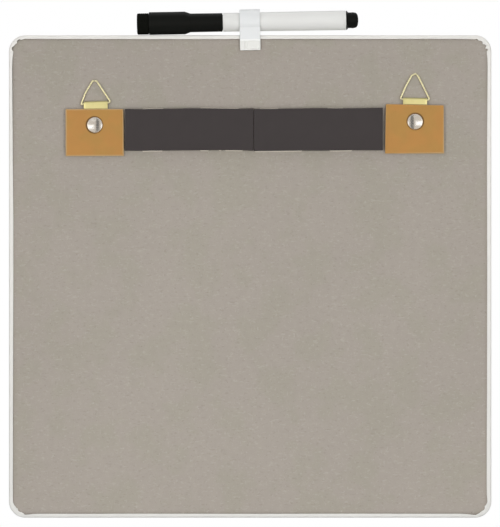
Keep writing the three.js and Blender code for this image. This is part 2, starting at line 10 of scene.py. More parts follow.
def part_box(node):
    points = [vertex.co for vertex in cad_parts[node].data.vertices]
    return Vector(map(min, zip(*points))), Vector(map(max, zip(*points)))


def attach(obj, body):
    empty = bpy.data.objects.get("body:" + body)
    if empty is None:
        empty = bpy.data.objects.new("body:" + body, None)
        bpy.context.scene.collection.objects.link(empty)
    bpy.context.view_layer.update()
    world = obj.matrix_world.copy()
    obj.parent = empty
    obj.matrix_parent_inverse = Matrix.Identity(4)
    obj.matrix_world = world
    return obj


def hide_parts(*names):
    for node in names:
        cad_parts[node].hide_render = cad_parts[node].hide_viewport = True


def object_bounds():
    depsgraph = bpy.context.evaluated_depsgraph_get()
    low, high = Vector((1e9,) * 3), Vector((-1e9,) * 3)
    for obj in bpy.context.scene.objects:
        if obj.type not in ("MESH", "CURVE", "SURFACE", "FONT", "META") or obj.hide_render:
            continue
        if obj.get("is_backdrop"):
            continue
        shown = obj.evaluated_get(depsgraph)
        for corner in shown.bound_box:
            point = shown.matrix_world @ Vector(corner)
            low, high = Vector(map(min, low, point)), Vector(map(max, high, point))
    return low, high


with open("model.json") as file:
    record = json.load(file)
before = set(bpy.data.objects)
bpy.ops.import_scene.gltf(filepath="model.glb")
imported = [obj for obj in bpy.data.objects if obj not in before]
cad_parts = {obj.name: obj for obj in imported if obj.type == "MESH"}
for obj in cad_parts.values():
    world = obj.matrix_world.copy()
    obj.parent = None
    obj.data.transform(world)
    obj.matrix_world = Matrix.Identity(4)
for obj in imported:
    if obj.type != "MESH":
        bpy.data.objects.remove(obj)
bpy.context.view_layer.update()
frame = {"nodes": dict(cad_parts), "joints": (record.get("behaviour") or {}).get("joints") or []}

bl_info = {
    "name": "Magnetic Whiteboard",
    "version": (1, 0, 0),
    "blender": (4, 5, 0),
    "location": "3D View > Sidebar > Whiteboard",
    "description": "Models and finishes a small magnetic dry-erase board, its hangers and its marker",
    "category": "Object",
}

MM = 0.001
# How near each point lies to a piece's rim; on the chipboard it drives painted shade beside the lip
RIM = "worn_rim"
JOINTS = {joint["name"]: joint for joint in frame["joints"]}


def paint(red, green, blue):
    """A colour as a paint chart gives it, 0 to 255, as scene-linear numbers."""
    return tuple(
        share / 12.92 if share <= 0.04045 else ((share + 0.055) / 1.055) ** 2.4
        for share in (red / 255, green / 255, blue / 255)
    )


def size_of(node, axis):
    """How far a CAD node reaches along an axis, 0 for X to 2 for Z."""
    low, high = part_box(node)
    return high[axis] - low[axis]


def middle_of(node):
    low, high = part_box(node)
    return (low + high) / 2


def board_back():
    """Where the chipboard's bare face lies, along Y."""
    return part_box("backing_board")[0].y


def length(name, words, default):
    """A size for a group of sizes, in metres."""
    return bpy.props.FloatProperty(
        name=name, description=words, default=default, min=0, precision=5, unit="LENGTH"
    )


def tint(name, words, default):
    """A colour for a group of colours."""
    return bpy.props.FloatVectorProperty(
        name=name, description=words, default=default, size=3, min=0, max=1, subtype="COLOR"
    )


class BoardSizes(bpy.types.PropertyGroup):
    width: length("Width", "Board from side to side", size_of("face_sheet", 0))
    height: length("Height", "Board from bottom to top", size_of("face_sheet", 2))
    corner: length("Corner", "Radius of the board's corners", 9.5 * MM)
    sheet: length("Sheet", "Thickness of the steel sheet", 0.4 * MM)
    bend: length("Bend", "Radius of the folds at the front and the back", 1 * MM)
    lip: length("Lip", "Usual width of the folded edge on the back", 2.4 * MM)
    crimp: length("Crimp", "Height of the pleats at the corners", 0.26 * MM)
    roll_width: length("Roll width", "How far in from the lip the chipboard curves down", 4.2 * MM)
    roll_depth: length("Roll depth", "How far the chipboard drops under the lip", 0.95 * MM)


class HangerSizes(bpy.types.PropertyGroup):
    plate_rim: length("Plate rim", "Band along a plate's edges where its face falls away", 1.2 * MM)
    plate_fall: length("Plate fall", "How far the face falls at a plate's edges", 0.1 * MM)
    strap_width: length("Strap width", "Brass strip from side to side", 13.7 * MM)
    strap_gauge: length("Strap gauge", "Thickness of the brass strip", 0.32 * MM)
    strap_room: length("Strap room", "Room between the ring's bar and the strip round it", 0.31 * MM)
    wire: length("Wire", "Diameter of the ring's wire", 1.1 * MM)
    rivet: length("Rivet", "Radius of a rivet's cap", 4.75 * MM)
    rivet_rise: length("Rivet rise", "Height of a rivet's cap", 1.4 * MM)


class MarkerSizes(bpy.types.PropertyGroup):
    clip_width: length("Clip width", "Clip along the marker", 11.85 * MM)
    clip_rise: length("Clip rise", "From the board's top edge up to the middle of the bore", 8 * MM)
    clip_bore: length("Clip bore", "Radius of the clip's bore", 5.8 * MM)
    clip_wall: length("Clip wall", "Wall of the clip's ring", 1.45 * MM)
    clip_leg: length("Clip leg", "Wall of the clip's legs", 1.3 * MM)
    clip_edge: length("Clip edge", "Rounding of the clip's rims", 0.32 * MM)
    cap_radius: length("Cap radius", "Widest part of the cap", 6.58 * MM)
    neck_radius: length("Neck radius", "Narrow part of the cap", 5.42 * MM)
    felt_radius: length("Felt radius", "Eraser felt", 6.2 * MM)
    barrel_front: length("Barrel front", "Barrel's radius beside the cap", 5.4 * MM)
    barrel_rear: length("Barrel rear", "Barrel's radius at its far end", 5.69 * MM)
    plug_radius: length("Plug radius", "End plug", 4.52 * MM)


class BoardColours(bpy.types.PropertyGroup):
    steel: tint("Steel", "Paint on the folded sheet", paint(226, 225, 221))
    chipboard: tint("Chipboard", "Grey backing board", paint(166, 158, 149))
    magnet: tint("Magnet", "Flexible magnet strips", paint(63, 58, 58))
    tape: tint("Tape", "Tape under the strips", paint(222, 214, 200))
    foam: tint("Foam", "Foam pads under the plates", paint(232, 228, 216))
    core: tint("Core", "Fibreboard inside", paint(138, 111, 77))


class FittingColours(bpy.types.PropertyGroup):
    hardboard: tint("Hardboard", "Hanger plates", paint(179, 134, 68))
    cut_edge: tint("Cut edge", "Cut edges of the hanger plates", paint(186, 155, 110))
    strap: tint("Strap", "Brass strip", paint(235, 227, 166))
    ring: tint("Ring", "Brass wire", paint(252, 246, 206))
    nickel: tint("Nickel", "Rivet caps", paint(212, 208, 202))


class MarkerColours(bpy.types.PropertyGroup):
    clip: tint("Clip", "Clip's cool white plastic", paint(232, 234, 234))
    barrel: tint("Barrel", "Barrel's pale grey plastic", paint(231, 231, 228))
    black: tint("Black", "Cap, plug and nose", paint(19, 20, 18))
    felt: tint("Felt", "Eraser", paint(15, 16, 13))
    nib: tint("Nib", "Nib and reservoir", paint(216, 211, 200))


class Signal:
    """A number or colour on its way through a material, which takes part in sums as a Python value does."""

    def __init__(self, finish, socket):
        self.finish = finish
        self.socket = socket

    def _sum(self, operation, first, second):
        return self.finish.node("ShaderNodeMath", {"operation": operation}, {0: first, 1: second})

    def __add__(self, other):
        return self._sum("ADD", self, other)

    def __radd__(self, other):
        return self._sum("ADD", other, self)

    def __sub__(self, other):
        return self._sum("SUBTRACT", self, other)

    def __rsub__(self, other):
        return self._sum("SUBTRACT", other, self)

    def __mul__(self, other):
        return self._sum("MULTIPLY", self, other)

    def __rmul__(self, other):
        return self._sum("MULTIPLY", other, self)

    def __abs__(self):
        return self.finish.node("ShaderNodeMath", {"operation": "ABSOLUTE"}, {0: self})


class Finish:
    """One material and the nodes that make it."""

    def __init__(self, name):
        self.material = bpy.data.materials.new(name)
        self.material.use_nodes = True
        self.tree = self.material.node_tree
        self.tree.nodes.clear()
        self.place = self.node("ShaderNodeTexCoord", output="Object")

    def node(self, kind, settings=None, sockets=None, output=0):
        made = self.tree.nodes.new(kind)
        for key, value in (settings or {}).items():
            setattr(made, key, value)
        for key, value in (sockets or {}).items():
            if isinstance(value, Signal):
                self.tree.links.new(value.socket, made.inputs[key])
            else:
                made.inputs[key].default_value = value
        return Signal(self, made.outputs[output]) if made.outputs else None

    def stretched(self, x, y, z):
        return self.node("ShaderNodeMapping", None, {"Vector": self.place, "Scale": (x, y, z)})

    def noise(self, scale, detail=2, vector=None, roughness=0.5):
        sockets = {"Vector": vector or self.place, "Scale": scale, "Detail": detail, "Roughness": roughness}
        return self.node("ShaderNodeTexNoise", None, sockets)

    def step(self, value, low, high):
        """0 below low, 1 above high, and a smooth change between them."""
        sockets = {"Value": value, "From Min": low, "From Max": high}
        return self.node("ShaderNodeMapRange", {"interpolation_type": "SMOOTHSTEP"}, sockets)

    def axis(self, name, vector=None):
        """One of a place's three numbers."""
        return self.node("ShaderNodeSeparateXYZ", None, {0: vector or self.place}, name)

    def blend(self, factor, first, second, mode="MIX"):
        sockets = {0: factor}
        for key, value in ((6, first), (7, second)):
            sockets[key] = value if isinstance(value, Signal) else (*value, 1)
        return self.node("ShaderNodeMix", {"data_type": "RGBA", "blend_type": mode}, sockets, 2)

    def times(self, first, second):
        """One colour times another."""
        return self.blend(1, first, second, "MULTIPLY")

    def varied(self, colour, pattern, low, high):
        """A colour times a grey that follows a pattern from low to high."""
        return self.times(colour, self.blend(pattern, (low, low, low), (high, high, high)))

    def flecks(self, scale, stretch, low, high):
        """Specks of noise: 1 on them, 0 between them."""
        return self.step(self.noise(scale, 2, self.stretched(*stretch)), low, high)

    def rim(self):
        """What the mesh notes about how near its rim each point is."""
        return self.node("ShaderNodeAttribute", {"attribute_name": RIM}, output="Fac")

    def bump(self, height, depth, strength):
        sockets = {"Strength": strength, "Distance": depth, "Height": height}
        return self.node("ShaderNodeBump", None, sockets, "Normal")

    def surface(self, sockets):
        shader = self.node("ShaderNodeBsdfPrincipled", None, sockets)
        self.node("ShaderNodeOutputMaterial", None, {"Surface": shader})
        return self.material


def darker(colour, share):
    """A share of a colour, which is lighter where the share is over 1."""
    return tuple(channel * share for channel in colour)


def painted_steel(colour):
    """Glossy white paint with a faint orange peel, and painted light: lighter towards the top and darker
    towards the bottom.
    """
    finish = Finish("white_painted_steel")
    cloud = finish.noise(60, 3)
    smudge = finish.step(finish.noise(220, 4), 0.45, 0.75)
    shade = finish.blend(cloud, darker(colour, 0.97), darker(colour, 1.02))
    low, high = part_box("face_sheet")
    # Painted light: the paint runs from darker at the bottom to lighter at the top, standing in for how the
    # lamps light the lip
    height = finish.step(finish.axis("Z"), low.z, high.z)
    shade = finish.times(shade, finish.blend(height, (0.955, 0.955, 0.955), (1.08, 1.065, 1.055)))
    peel = finish.bump(finish.noise(1400, 2), 0.00002, 0.35)
    return finish.surface({
        "Base Color": finish.blend(smudge * 0.08, shade, paint(206, 203, 195)),
        "Roughness": 0.28 + cloud * 0.16,
        "Normal": peel,
        "Specular IOR Level": 0.35,
    })


def grey_chipboard(colour):
    """Recycled board: faint warm and cool patches, short fibres light and dark, small specks, and painted
    shade beside the lip.
    """
    finish = Finish("speckled_grey_chipboard")
    patches = finish.step(finish.noise(48, 3, roughness=0.6), 0.45, 0.62)
    base = finish.blend(patches, colour, finish.times(colour, (0.965, 0.985, 0.95)))
    cloud = finish.noise(9, 3)
    base = finish.varied(base, cloud, 0.95, 1.07)
    base = finish.varied(base, finish.noise(260, 3), 0.95, 1.06)
    fibres = finish.flecks(1100, (0.35, 1, 1), 0.6, 0.7) + finish.flecks(1000, (1, 1, 0.35), 0.61, 0.71)
    base = finish.blend(fibres * 0.27, base, paint(190, 184, 174))
    shadows = finish.flecks(950, (0.5, 1, 0.9), 0.6, 0.7)
    base = finish.blend(shadows * 0.24, base, paint(134, 127, 118))
    dark = finish.flecks(1250, (1, 1, 0.8), 0.66, 0.74)
    base = finish.blend(dark * 0.38, base, paint(108, 101, 93))
    pale = finish.flecks(1300, (1.1, 1, 0.9), 0.68, 0.76)
    base = finish.blend(pale * 0.3, base, paint(206, 201, 192))
    # Painted shade: the board is darkened close to the lip, where the lip's shadow falls into the rolled-down
    # rim
    rim = finish.rim()
    base = finish.blend(rim * rim * rim * rim * 0.2, base, darker(colour, 0.3))
    grain = finish.noise(1500, 4) + fibres * 0.3 - dark * 0.3
    return finish.surface({
        "Base Color": base,
        "Roughness": 0.86 + 0.1 * cloud,
        "Normal": finish.bump(grain, 0.00004, 0.5),
        "Specular IOR Level": 0.15,
    })


def core_fibreboard(colour):
    """Pressed fibre with coarse flecks."""
    finish = Finish("pressed_core_fibreboard")
    flecks = finish.noise(700, 5)
    return finish.surface({
        "Base Color": finish.blend(flecks, darker(colour, 0.8), darker(colour, 1.15)),
        "Roughness": 0.9 + 0.08 * flecks,
        "Normal": finish.bump(flecks, 0.0001, 0.4),
    })


def magnet_rubber(colour):
    """Calendered ferrite rubber: fine lines along the strip and a slightly dusty face."""
    finish = Finish("flexible_magnet_rubber")
    lines = finish.noise(900, 2, finish.stretched(0.03, 1, 1))
    weave = finish.noise(260, 3, finish.stretched(0.5, 1, 0.5))
    dust = finish.step(finish.noise(1800, 2), 0.62, 0.8)
    base = finish.blend(weave, darker(colour, 0.9), darker(colour, 1.12))
    base = finish.blend(dust * 0.12, base, paint(98, 94, 93))
    return finish.surface({
        "Base Color": base,
        "Roughness": 0.66 + 0.2 * weave,
        "Normal": finish.bump(lines + dust * 0.2, 0.00003, 0.5),
        "Specular IOR Level": 0.16,
    })


def pale_tape(name, colour):
    """Foam tape: closed cells on the cut edge and a dull face."""
    finish = Finish(name)
    cells = finish.node("ShaderNodeTexVoronoi", None, {"Vector": finish.place, "Scale": 2600.0}, "Distance")
    stain = finish.noise(180, 3)
    return finish.surface({
        "Base Color": finish.blend(stain, darker(colour, 0.88), darker(colour, 1.06)),
        "Roughness": 0.8 + 0.15 * stain,
        "Normal": finish.bump(cells, 0.00008, 0.5),
        "Specular IOR Level": 0.2,
    })


# From the middle of each rivet, where the painted shadow round its cap on the plate is full and where it ends
RIVET_SHADOW_RING = (4.8 * MM, 5.4 * MM)


def tan_hardboard(colour, edge_colour, rivets):
    """Smooth pressed face with faint mottling, paler along its rim, and a painted shadow round each rivet."""
    finish = Finish("tan_pressed_hardboard")
    facing = abs(finish.axis("Y", finish.node("ShaderNodeTexCoord", output="Normal")))
    cut = 1 - finish.step(facing, 0.55, 0.95)
    mottle = finish.noise(130, 4)
    warmth = finish.step(finish.noise(75, 2), 0.42, 0.62)
    face = finish.blend(warmth, darker(colour, 0.98), finish.times(colour, (1.05, 0.97, 0.99)))
    face = finish.varied(face, mottle, 0.93, 1.06)
    fleck = finish.step(finish.noise(1600, 2), 0.66, 0.78)
    face = finish.blend(fleck * 0.3, face, darker(colour, 0.66))
    worn = finish.step(finish.rim() + 0.2 * finish.noise(700, 3), 0.3, 0.7)
    face = finish.blend(worn * 0.8, face, edge_colour)
    flat = finish.node("ShaderNodeVectorMath", {"operation": "MULTIPLY"}, {0: finish.place, 1: (1, 0, 1)})
    for rivet in rivets:
        sockets = {0: flat, 1: (rivet.x, 0, rivet.z)}
        away = finish.node("ShaderNodeVectorMath", {"operation": "DISTANCE"}, sockets, "Value")
        # Painted shadow: a dark brown ring on the plate round each rivet's cap, where its shade falls
        pressed = 1 - finish.step(away, *RIVET_SHADOW_RING)
        face = finish.blend(pressed * 0.85, face, paint(98, 70, 34))
    layers = finish.noise(900, 4, finish.stretched(0.4, 3, 0.4))
    sides = finish.blend(layers, darker(edge_colour, 0.8), darker(edge_colour, 1.1))
    return finish.surface({
        "Base Color": finish.blend(cut, face, sides),
        "Roughness": 0.5 + 0.3 * cut + 0.12 * mottle,
        "Normal": finish.bump(mottle + layers * cut, 0.00005, 0.5),
        "Specular IOR Level": 0.22,
    })


def bright_metal(name, colour, roughness, streak, scuff):
    """Plated metal with fine drawing lines and a few scuffs."""
    finish = Finish(name)
    lines = finish.noise(1500, 3, finish.stretched(*streak))
    marks = finish.step(finish.noise(420, 4), 0.56, 0.7)
    base = finish.blend(lines, darker(colour, 0.93), darker(colour, 1.03))
    return finish.surface({
        "Base Color": finish.blend(marks * scuff, base, darker(colour, 0.7)),
        "Metallic": 1.0,
        "Roughness": roughness + 0.08 * lines + 0.1 * marks,
        "Normal": finish.bump(lines, 0.000004, 0.4),
    })


def moulded_plastic(name, colour, roughness, gloss, drift, folds=()):
    """Injection-moulded plastic with a fine satin texture, a trace of flow marks, and at given fold heights a
    painted highlight, with a painted warm reflection below the first.
    """
    finish = Finish(name)
    flow = finish.noise(70, 2, finish.stretched(0.5, 1, 1))
    satin = finish.noise(2600, 2)
    scratch = finish.step(finish.noise(1200, 3, finish.stretched(0.08, 1, 1)), 0.68, 0.78)
    base = finish.blend(flow, darker(colour, 1 - drift), darker(colour, 1 + drift))
    if folds:
        # Painted reflection: the plastic is warmed below the first fold height, standing in for warm light
        # thrown up onto the tabs
        warm_reflection = 1 - finish.step(finish.axis("Z"), folds[0] - 0.5 * MM, folds[0])
        base = finish.blend(warm_reflection, base, finish.times(base, (1.02, 1.0, 0.955)))
    # Painted highlight: the plastic turns near white along each fold height
    for height in folds:
        away = finish.step(abs(finish.axis("Z") - height), 0.1 * MM, 0.75 * MM)
        base = finish.blend(0.8 - away * 0.8, base, paint(254, 254, 252))
    return finish.surface({
        "Base Color": base,
        "Roughness": roughness + 0.06 * flow + 0.1 * scratch,
        "Normal": finish.bump(satin, 0.000006, 0.5),
        "Specular IOR Level": gloss,
    })


def soft_felt(name, colour):
    """Pressed fibre with a short nap and darker seams between its layers."""
    finish = Finish(name)
    nap = finish.noise(1900, 5, roughness=0.7)
    layers = finish.noise(620, 2, finish.stretched(1, 0.1, 0.1))
    return finish.surface({
        "Base Color": finish.blend(nap, darker(colour, 0.6), darker(colour, 1.7)),
        "Roughness": 0.92 + 0.08 * nap,
        "Normal": finish.bump(nap + layers, 0.00015, 0.8),
        "Specular IOR Level": 0.05,
    })


def begin(add, **settings):
    """Start a piece from a primitive, with nothing else selected."""
    bpy.ops.object.select_all(action="DESELECT")
    add(**settings)
    return bpy.context.object


def choose(piece):
    """Leave everything else, and make this the piece that the next operators act on."""
    bpy.ops.object.select_all(action="DESELECT")
    piece.select_set(True)
    bpy.context.view_layer.objects.active = piece


def edit(piece):
    """Open a piece's mesh, to select its vertices."""
    choose(piece)
    bpy.ops.object.mode_set(mode="EDIT")
    bpy.ops.mesh.select_mode(type="VERT")


def leave():
    bpy.ops.object.mode_set(mode="OBJECT")


def take_all():
    bpy.ops.mesh.select_all(action="SELECT")


def extrude(x, y, z):
    """Extrude what is selected in the open mesh, and move it."""
    bpy.ops.mesh.extrude_region_move(TRANSFORM_OT_translate={"value": (x, y, z)})


def face_outwards():
    """Turn all faces of the open mesh outwards."""
    take_all()
    bpy.ops.mesh.normals_make_consistent(inside=False)


def pick(part, wanted):
    """In the open mesh, select the vertices, edges or faces that are wanted."""
    bpy.ops.mesh.select_mode(type={"verts": "VERT", "edges": "EDGE", "faces": "FACE"}[part])
    bpy.ops.mesh.select_all(action="DESELECT")
    mesh = bmesh.from_edit_mesh(bpy.context.object.data)
    found = [item for item in getattr(mesh, part) if wanted(item)]
    if not found:
        raise RuntimeError(f"nothing to select among the {part} of {bpy.context.object.name}")
    for item in found:
        item.select_set(True)
    mesh.select_flush_mode()
    bmesh.update_edit_mesh(bpy.context.object.data)


def settle(piece, place=Matrix.Identity(4)):
    """Put a finished mesh in its place, with the object itself at the origin, unturned and unscaled."""
    choose(piece)
    piece.matrix_world = place @ piece.matrix_world
    bpy.ops.object.transform_apply(location=True, rotation=True, scale=True)


def modify(piece, kind, **settings):
    """Give a piece a modifier and apply it."""
    choose(piece)
    modifier = piece.modifiers.new(kind.lower(), kind)
    for key, value in settings.items():
        setattr(modifier, key, value)
    bpy.ops.object.modifier_apply(modifier=modifier.name)


def soften(piece, width, degrees, segments):
    """Round the edges where faces meet at more than an angle."""
    modify(piece, "BEVEL", width=width, segments=segments, limit_method="ANGLE",
           angle_limit=math.radians(degrees), harden_normals=False)


def dress(piece, name, material, body, node, degrees=30):
    """Name a finished piece, smooth it, give it its material, and tie it to the frame."""
    piece.name = name
    piece.data.name = name
    piece.data.materials.clear()
    piece.data.materials.append(material)
    choose(piece)
    bpy.ops.object.shade_smooth_by_angle(angle=math.radians(degrees))
    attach(piece, body)
    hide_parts(node)


def coat(node, material):
    """Give a CAD node that stays its material."""
    piece = frame["nodes"][node]
    piece.data.materials.clear()
    piece.data.materials.append(material)


def arc(middle, radius, start, end, steps):
    """Points on an arc in a plane, from one angle to another, in degrees."""
    points = []
    for i in range(steps + 1):
        angle = math.radians(start + (end - start) * i / steps)
        points.append((middle[0] + radius * math.cos(angle), middle[1] + radius * math.sin(angle)))
    return points


def draw(points, closed=False):
    """Extrude one vertex from point to point, from a plane merged at the first point."""
    piece = begin(bpy.ops.mesh.primitive_plane_add, size=MM)
    edit(piece)
    take_all()
    bpy.ops.mesh.merge(type="CENTER")
    bpy.ops.transform.translate(value=points[0])
    for before, after in zip(points, points[1:]):
        extrude(*(b - a for a, b in zip(before, after)))
    if closed:
        pick("verts", lambda vertex: len(vertex.link_edges) == 1)
        bpy.ops.mesh.edge_face_add()
    return piece


def turn(stations, sides, through=False):
    """Extrude and scale a circle from station to station, each (radius, place along Z)."""
    radius, along = stations[0]
    fill = "NOTHING" if through else "NGON"
    piece = begin(
        bpy.ops.mesh.primitive_circle_add, vertices=sides, radius=radius, fill_type=fill,
        location=(0, 0, along),
    )
    settle(piece)
    edit(piece)
    take_all()
    for after_radius, after_along in stations[1:]:
        extrude(0, 0, after_along - along)
        share = after_radius / radius
        bpy.ops.transform.resize(value=(share, share, 1), center_override=(0, 0, after_along))
        radius, along = after_radius, after_along
    take_all()
    if through:
        bpy.ops.mesh.remove_doubles(threshold=0.001 * MM)
    face_outwards()
    leave()
    return piece


def slab(outline, near, depth):
    """Fill an outline, given across and up, and extrude it from near along Y."""
    piece = draw([(x, near, z) for x, z in outline], closed=True)
    take_all()
    bpy.ops.mesh.edge_face_add()
    extrude(0, depth, 0)
    face_outwards()
    return piece


CORNER_STEPS = 36
SIDE_CUTS = 59
BEND_STEPS = 5
ROLL_STEPS = 10
# How far under the lip the chipboard's roll begins, and how soon it levels out
ROLL_START = 0.5 * MM
ROLL_CURVE = 2.4


def upright_plane(place, width, height):
    """A plane in its place, seen square on from behind the board."""
    piece = begin(bpy.ops.mesh.primitive_plane_add, size=1, location=place, rotation=(math.pi / 2, 0, 0))
    piece.scale = (width, height, 1)
    settle(piece)
    return piece


def board_outline(board, inset, y):
    """A plane with rounded corners, facing the back, lying inset from the board's edge."""
    centre = middle_of("face_sheet")
    piece = upright_plane((centre.x, y, centre.z), board.width - 2 * inset, board.height - 2 * inset)
    edit(piece)
    take_all()
    bpy.ops.mesh.bevel(
        offset=board.corner - inset, segments=CORNER_STEPS, affect="VERTICES", profile=0.5,
        offset_type="OFFSET"
    )
    pick("edges", lambda edge: edge.calc_length() > board.width / 2)
    bpy.ops.mesh.subdivide(number_cuts=SIDE_CUTS)
    return piece


# Width of the lip round each corner: degrees from the corner's upright side, and millimetres
CRIMPS = {
    "top_left": ((0, 2.6), (8, 1.75), (16, 1.45), (27, 2.35), (36, 2.4), (45, 2.75), (54, 1.65), (63, 1.55),
                 (72, 2.45), (81, 2.4), (90, 2.15)),
    "top_right": ((0, 2.75), (9, 1.95), (18, 3.5), (27, 2.1), (36, 2.65), (45, 3.4), (54, 2.4), (63, 2.55),
                  (72, 2.9), (81, 2.1), (90, 2.45)),
    "bottom_left": ((0, 2.4), (9, 2.6), (18, 2.85), (27, 3.15), (36, 3.25), (45, 3.5), (54, 2.75), (63, 2.75),
                    (72, 2.9), (81, 2.6), (90, 1.75)),
    "bottom_right": ((0, 2.4), (9, 2.65), (18, 3.05), (27, 3.45), (36, 2.65), (45, 2.45), (54, 2.75),
                     (63, 2.55), (72, 2.3), (81, 1.95), (90, 1.55)),
}
# Width of the lip along each side, in millimetres at even steps: upright sides from the top, the others from
# the left
LIP_WIDTHS = {
    "left": (1.9, 2.1, 2.3, 2.6, 2.6, 2.5, 2.4, 2.35, 2.3),
    "right": (2.2, 2.45, 2.6, 2.55, 2.5, 2.55, 2.6, 2.75, 2.8),
    "top": (2.2, 2.25, 2.3, 2.3, 2.25, 2.2, 2.25, 2.2, 2.2),
    "bottom": (2.35, 2.3, 2.4, 2.35, 2.3, 2.35, 2.4, 2.35, 2.35),
}
# How far along a side the width changes over from its corner's last pleat
PLEAT_FADE = 6 * MM
# The share of the lip's usual width at which a pleat begins to stand up, and how fast it grows with the width
PLEAT_FROM, PLEAT_GROWTH = 0.72, 2.2


def along_table(table, share):
    """The value of an evenly stepped table at a share of its length."""
    place = min(max(share, 0), 1) * (len(table) - 1)
    step = min(int(place), len(table) - 2)
    return table[step] + (table[step + 1] - table[step]) * (place - step)


def along_pairs(pairs, angle):
    """The value of a table of (angle, value) pairs at an angle."""
    for (a, first), (b, second) in zip(pairs, pairs[1:]):
        if angle <= b:
            return first + (second - first) * max(angle - a, 0) / (b - a)
    return pairs[-1][1]


def flat_reach(board):
    """How far the straight part of each side reaches from the board's middle: across and up."""
    return board.width / 2 - board.corner, board.height / 2 - board.corner


def lip_at(board, centre, place):
    """The lip's width at a place on the board's edge, the way in from there, and whether it is a corner."""
    x, z = place.x - centre.x, place.z - centre.z
    flat_x, flat_z = flat_reach(board)
    corner = ("top" if z > 0 else "bottom") + ("_left" if x < 0 else "_right")
    if abs(x) > flat_x and abs(z) > flat_z:
        out = Vector((abs(x) - flat_x, 0, abs(z) - flat_z))
        angle = math.degrees(math.atan2(out.z, out.x))
        way = Vector((-math.copysign(out.x, x), 0, -math.copysign(out.z, z))).normalized()
        return along_pairs(CRIMPS[corner], angle) * MM, way, True
    if abs(x) > flat_x:
        side, angle = "left" if x < 0 else "right", 0
        share, from_corner = 0.5 - z / (2 * flat_z), flat_z - abs(z)
        way = Vector((-math.copysign(1, x), 0, 0))
    else:
        side, angle = "top" if z > 0 else "bottom", 90
        share, from_corner = 0.5 + x / (2 * flat_x), flat_x - abs(x)
        way = Vector((0, 0, -math.copysign(1, z)))
    width = along_table(LIP_WIDTHS[side], share)
    near = max(0, 1 - from_corner / PLEAT_FADE)
    return (width + (along_pairs(CRIMPS[corner], angle) - width) * near) * MM, way, False


class WHITEBOARD_OT_face_sheet(bpy.types.Operator):
    """Fold the white steel sheet round the board and crimp its lip at the corners"""

    bl_idname = "whiteboard.face_sheet"
    bl_label = "Folded face sheet"

    def execute(self, context):
        board = context.scene.board_sizes
        front, rear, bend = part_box("face_sheet")[1].y, board_back(), board.bend
        piece = board_outline(board, 0, front - bend)
        take_all()
        extrude(0, -(front - rear - 2 * bend), 0)
        self.fold(bend)
        for share in (0.3, 0.4, 0.3):
            bpy.ops.mesh.inset(thickness=(board.lip - bend) * share, depth=0)
        bpy.ops.mesh.delete(type="FACE")
        pick("faces", lambda face: abs(face.calc_center_median().y - front + bend) < 0.01 * MM
             and len(face.verts) > 4)
        self.fold(bend)
        leave()
        self.crimp(piece, board)
        modify(piece, "SOLIDIFY", thickness=board.sheet, offset=-1, use_even_offset=True)
        soften(piece, 0.06 * MM, 60, 2)
        steel = painted_steel(context.scene.board_colours.steel)
        dress(piece, "folded_face_sheet", steel, "board", "face_sheet")
        return {"FINISHED"}

    def fold(self, radius):
        """Inset what is selected in the open mesh along a quarter turn."""
        quarter = arc((0, 0), radius, 0, 90, BEND_STEPS)
        for (near, up), (next_near, next_up) in zip(quarter, quarter[1:]):
            bpy.ops.mesh.inset(thickness=near - next_near, depth=next_up - up)

    def crimp(self, piece, board):
        """Draw the lip's inner edge to its uneven width and raise the pleats round the corners."""
        edit(piece)
        mesh = bmesh.from_edit_mesh(piece.data)
        centre = middle_of("face_sheet")
        rim = [edge for edge in mesh.edges if edge.is_boundary]
        inner = {vertex for edge in rim for vertex in edge.verts}
        second = {edge.other_vert(vertex) for vertex in inner for edge in vertex.link_edges} - inner
        third = {edge.other_vert(vertex) for vertex in second for edge in vertex.link_edges} - inner - second
        # Each row's share of the change in width, and of the pleats' height
        for ring, reach, share in ((inner, 1, 0.4), (second, 0.7, 1), (third, 0.3, 0.3)):
            for vertex in ring:
                width, way, corner = lip_at(board, centre, vertex.co)
                vertex.co += way * (width - board.lip) * reach
                if corner:
                    ridge = max(0, width / board.lip - PLEAT_FROM) * PLEAT_GROWTH
                    vertex.co.y -= board.crimp * min(1, ridge) * share
        bmesh.update_edit_mesh(piece.data)
        leave()


